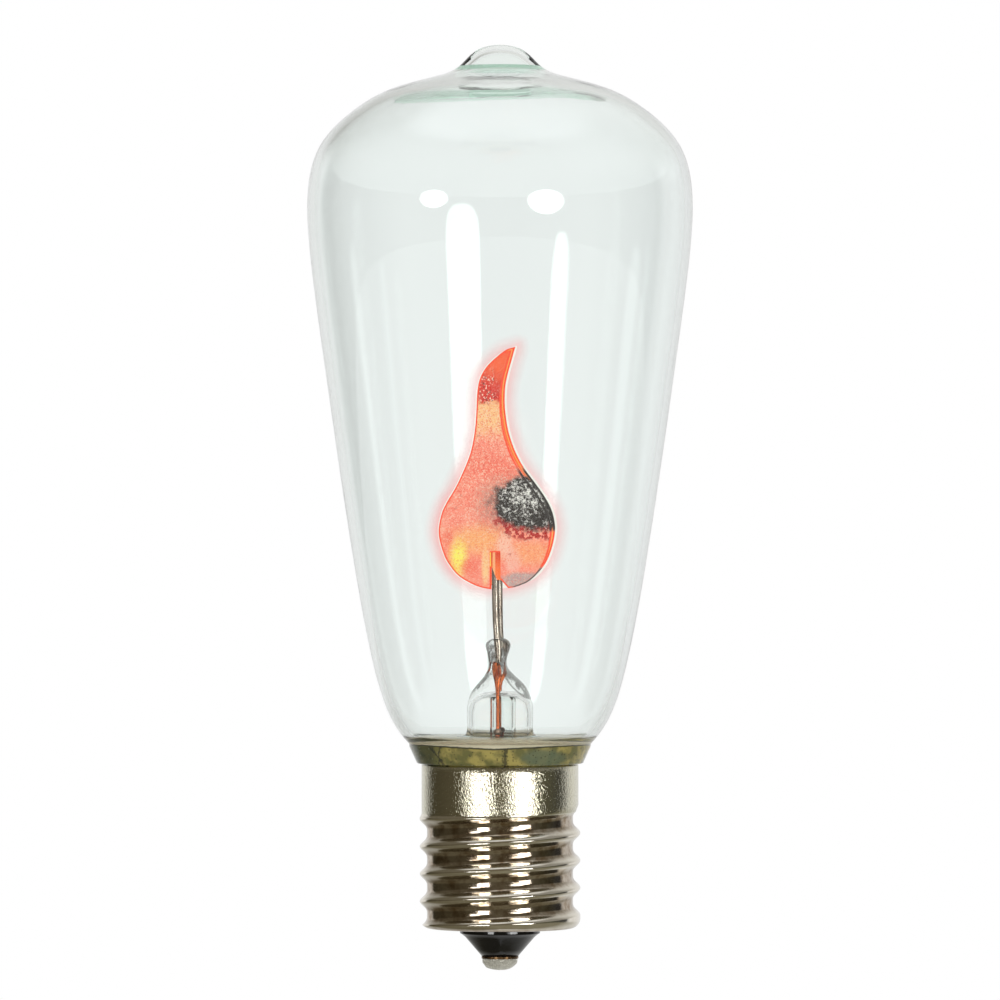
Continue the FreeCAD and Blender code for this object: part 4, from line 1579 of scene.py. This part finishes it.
class Room(NodeSheet):
    """Node sheet of the white room, read by the direction in which light leaves the bulb."""

    def __init__(self, tree: bpy.types.NodeTree, turn: float) -> None:
        """Start an empty room.

        Args:
            tree: node tree of the world.
            turn: the camera's turn round the bulb, in degrees.
        """
        super().__init__(tree)
        self.turn = turn
        self.path = self.tree.nodes.new("ShaderNodeLightPath")
        way = self.tree.nodes.new("ShaderNodeTexCoord")
        split = self.tree.nodes.new("ShaderNodeSeparateXYZ")
        self.feed(split.inputs[0], way.outputs["Generated"])
        self.x, self.y, self.z = split.outputs

    def show(self, colour: Socket) -> None:
        """Join the room's colour to the output.

        Args:
            colour: colour in each direction.
        """
        output = self.tree.nodes.new("ShaderNodeOutputWorld")
        back = self.tree.nodes.new("ShaderNodeBackground")
        self.feed(back.inputs["Color"], colour)
        self.feed(output.inputs["Surface"], back.outputs["Background"])

    def bearing(self) -> Socket:
        """Bearing from the camera's side as a share of a turn, 0.5 straight at it.

        Returns:
            Socket with the share.
        """
        angle = self.sum("ARCTAN2", self.x, self.sum("MULTIPLY", self.y, -1.0))
        share = self.sum("MULTIPLY_ADD", angle, 1 / (2 * math.pi), 1.5 - self.turn / 360)
        return self.sum("FRACT", share)

    def ramp(self, stops: Stops) -> Socket:
        """Colours round the horizon.

        Args:
            stops: bearings in degrees with their colours.

        Returns:
            Socket with the colour.
        """
        node = self.tree.nodes.new("ShaderNodeValToRGB")
        elements = node.color_ramp.elements
        for i, (degrees, colour) in enumerate(stops):
            place = degrees / 360 + 0.5
            element = elements[i] if i < 2 else elements.new(place)
            element.position = place
            element.color = (*colour, 1.0)
        self.feed(node.inputs[0], self.bearing())
        return node.outputs["Color"]

    def oval(self, bearing: float, half: float, low: float, high: float,
             power: float = 2.0) -> Socket:
        """Share of an oval pane of light at each direction.

        Args:
            bearing: bearing of its middle in degrees.
            half: half its width in degrees.
            low: height of its lower end, as the direction's upward part.
            high: height of its upper end.
            power: how square its corners are, 2 for an ellipse.

        Returns:
            Socket with the share.
        """
        across = self.sum("MULTIPLY_ADD", self.bearing(), 360 / half, -(bearing + 180) / half)
        middle, reach = (low + high) / 2, (high - low) / 2
        up = self.sum("MULTIPLY_ADD", self.z, 1 / reach, -middle / reach)
        wide = self.sum("POWER", self.sum("ABSOLUTE", across), power)
        tall = self.sum("POWER", self.sum("ABSOLUTE", up), power)
        return self.step(self.sum("ADD", wide, tall), 1.05, 0.8)


@dataclass
class Studio:
    """Pale floor, soft light and the camera at the photograph's angle."""

    turn: float = 10.7
    middle_z: float = 0.0484
    distance: float = 0.8
    lens: float = 279.6
    floor_z: float = -0.34
    light_away: float = 0.4
    pane_radiance: float = 6.0
    strip_power: float = 2.8
    outer_turns: float = 4.5
    lamp_z: tuple[float, float] = (-0.036, 0.018)
    panes: Table = ((-40.2, 9.0, -0.01, 0.14), (27.6, 11.5, -0.055, 0.145))
    strips: Table = ((24.0, 11.5, -0.08, 0.66, 4.0), (-40.0, 6.5, 0.14, 0.64, 4.0),
                     (112.0, 3.5, 0.12, 0.5, 1.4), (-100.0, 7.0, 0.14, 0.5, 1.1),
                     (84.0, 3.0, 0.18, 0.56, 0.9))

    def camera(self) -> None:
        """Level camera in front of the plates, turned a little to the right."""
        data = bpy.data.cameras.new("front_camera")
        data.lens = self.lens
        data.sensor_width = 36.0
        data.clip_start = 0.01
        data.clip_end = 20.0
        made = bpy.data.objects.new("front_camera", data)
        bpy.context.scene.collection.objects.link(made)
        angle = math.radians(self.turn)
        made.location = (math.sin(angle) * self.distance, -math.cos(angle) * self.distance,
                         self.middle_z)
        made.rotation_euler = (math.pi / 2, 0, angle)
        bpy.context.scene.camera = made

    def lamp(self, name: str, bearing: float, width: float, radiance: float,
             lit: bpy.types.Collection) -> None:
        """Upright soft lamp beside the camera.

        Args:
            name: name of the lamp.
            bearing: its bearing from the camera's side, in degrees.
            width: how wide it looks from the bulb, in degrees.
            radiance: brightness of its face.
            lit: objects that it lights.
        """
        data = bpy.data.lights.new(name, "AREA")
        data.shape = "RECTANGLE"
        data.size = 2 * self.light_away * math.tan(math.radians(width / 2))
        low, high = self.lamp_z
        data.size_y = high - low
        data.energy = radiance * math.pi * data.size * data.size_y
        made = bpy.data.objects.new(name, data)
        bpy.context.scene.collection.objects.link(made)
        angle = math.radians(self.turn + bearing)
        made.location = (math.sin(angle) * self.light_away, -math.cos(angle) * self.light_away,
                         (low + high) / 2)
        made.rotation_euler = (math.pi / 2, 0, angle)
        made.visible_camera = False
        made.light_linking.receiver_collection = lit

    def floor(self) -> None:
        """Wide pale floor below the bulb."""
        count, reach = 96, 3.0
        angle = np.linspace(0, 2 * math.pi, count, endpoint=False)
        points = [(0.0, 0.0, self.floor_z)]
        points += [(reach * math.cos(a), reach * math.sin(a), self.floor_z) for a in angle]
        faces = [(0, i + 1, (i + 1) % count + 1) for i in range(count)]
        mesh = bpy.data.meshes.new("pale_floor")
        mesh.from_pydata(points, [], faces)
        sheet = Sheet("pale_floor")
        tone = sheet.mix(sheet.cloud(0.004, 3.0), srgb(244, 244, 243), srgb(250, 250, 249))
        sheet.drive("Base Color", tone)
        sheet.set("Roughness", 0.9)
        mesh.materials.append(sheet.material)
        made = bpy.data.objects.new("pale_floor", mesh)
        bpy.context.scene.collection.objects.link(made)
        made.visible_glossy = False
        made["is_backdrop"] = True

    def surroundings(self) -> None:
        """White room, with dark and grey screens that only reflections show."""
        world = bpy.data.worlds.new("white_room")
        bpy.context.scene.world = world
        world.use_nodes = True
        room = Room(world.node_tree, self.turn)
        inner = room.sum("GREATER_THAN", room.path.outputs["Ray Depth"], self.outer_turns)
        seen = room.sum("LESS_THAN", room.path.outputs["Glossy Depth"], 0.5)
        mirrored = room.mix(inner, self._screens(room), self._far_wall(room))
        room.show(room.mix(seen, mirrored, (1.0, 1.0, 1.0)))

    def _screens(self, room: Room) -> Socket:
        """Screens that surfaces towards the camera reflect.

        Args:
            room: sheet of the room.

        Returns:
            Socket with the colour.
        """
        level = room.ramp((
            (-180, (0.9, 0.9, 0.9)), (-138, (0.85, 0.85, 0.84)), (-131, (0.06, 0.055, 0.035)),
            (-96, (0.076, 0.064, 0.038)), (-40, (0.11, 0.095, 0.06)), (0, (0.15, 0.13, 0.087)),
            (40, (0.12, 0.105, 0.075)), (74, (0.093, 0.09, 0.058)), (102, (0.05, 0.05, 0.05)),
            (111, (0.06, 0.06, 0.06)), (118, (0.85, 0.85, 0.85))))
        low = room.ramp((
            (-180, (0.7, 0.7, 0.68)), (-130, (0.15, 0.134, 0.09)), (-96, (0.15, 0.134, 0.09)),
            (0, (0.235, 0.217, 0.153)), (100, (0.235, 0.22, 0.16)), (150, (0.7, 0.7, 0.68))))
        high = room.ramp((
            (-180, (0.8, 0.8, 0.78)), (-130, (0.13, 0.115, 0.08)), (0, (0.16, 0.14, 0.1)),
            (40, (0.16, 0.14, 0.1)), (60, (0.3, 0.29, 0.26)), (110, (0.3, 0.29, 0.26)),
            (150, (0.8, 0.8, 0.78))))
        near = room.mix(room.step(room.z, -0.1, -0.35), level, low)
        near = room.mix(room.step(room.z, 0.15, 0.4), near, high)
        near = room.mix(room.step(room.z, 0.78, 0.92), near, (0.85, 0.85, 0.84))
        for bearing, half, low_z, high_z in self.panes:
            share = room.oval(bearing, half, low_z, high_z)
            near = room.mix(share, near, (self.pane_radiance,) * 3)
        return near

    def _far_wall(self, room: Room) -> Socket:
        """Pale room with bright strips, for what is reflected inside the glass.

        Args:
            room: sheet of the room.

        Returns:
            Socket with the colour.
        """
        pale = room.ramp((
            (-180, (0.85, 0.85, 0.85)), (-150, (0.8, 0.8, 0.8)), (-135, (0.12, 0.11, 0.1)),
            (-90, (0.12, 0.11, 0.1)), (-60, (0.55, 0.53, 0.5)), (-10, (0.2, 0.19, 0.18)),
            (10, (0.2, 0.19, 0.18)), (60, (0.55, 0.53, 0.5)), (90, (0.12, 0.11, 0.1)),
            (135, (0.12, 0.11, 0.1)), (150, (0.8, 0.8, 0.8))))
        plain = (0.82, 0.82, 0.82)
        lit = room.mix(room.step(room.z, 0.3, 0.5), pale, plain)
        lit = room.mix(room.step(room.z, -0.3, -0.5), lit, plain)
        for bearing, half, low, high, radiance in self.strips:
            share = room.oval(bearing, half, low, high, self.strip_power)
            lit = room.mix(share, lit, (radiance,) * 3)
        return lit

    def lamps(self) -> None:
        """Two lamps for all but the clear glass, whose bright strips the room gives."""
        lit = bpy.data.collections.new("lit_by_lamps")
        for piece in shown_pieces():
            if not piece.name.startswith(("blown_glass", "crown_ring", "exhaust_pipe",
                                          "neon_glow")):
                lit.objects.link(piece)
        self.lamp("left_lamp", -26.0, 17.0, 11.0, lit)
        self.lamp("right_lamp", 39.0, 17.0, 11.0, lit)

    def build(self) -> None:
        """Set up camera, floor and room."""
        self.camera()
        self.floor()
        self.surroundings()
        bpy.context.scene.view_settings.view_transform = "Standard"


def main() -> None:
    """Build every sub-assembly in order."""
    logging.basicConfig(level=logging.INFO, format="%(name)s %(message)s")
    studio = Studio()
    for part in (studio, SealedGlass(), FlamePlates(), WireWork(), CementBed(), ScrewCap()):
        part.build()
    studio.lamps()


if __name__ == "__main__":
    main()
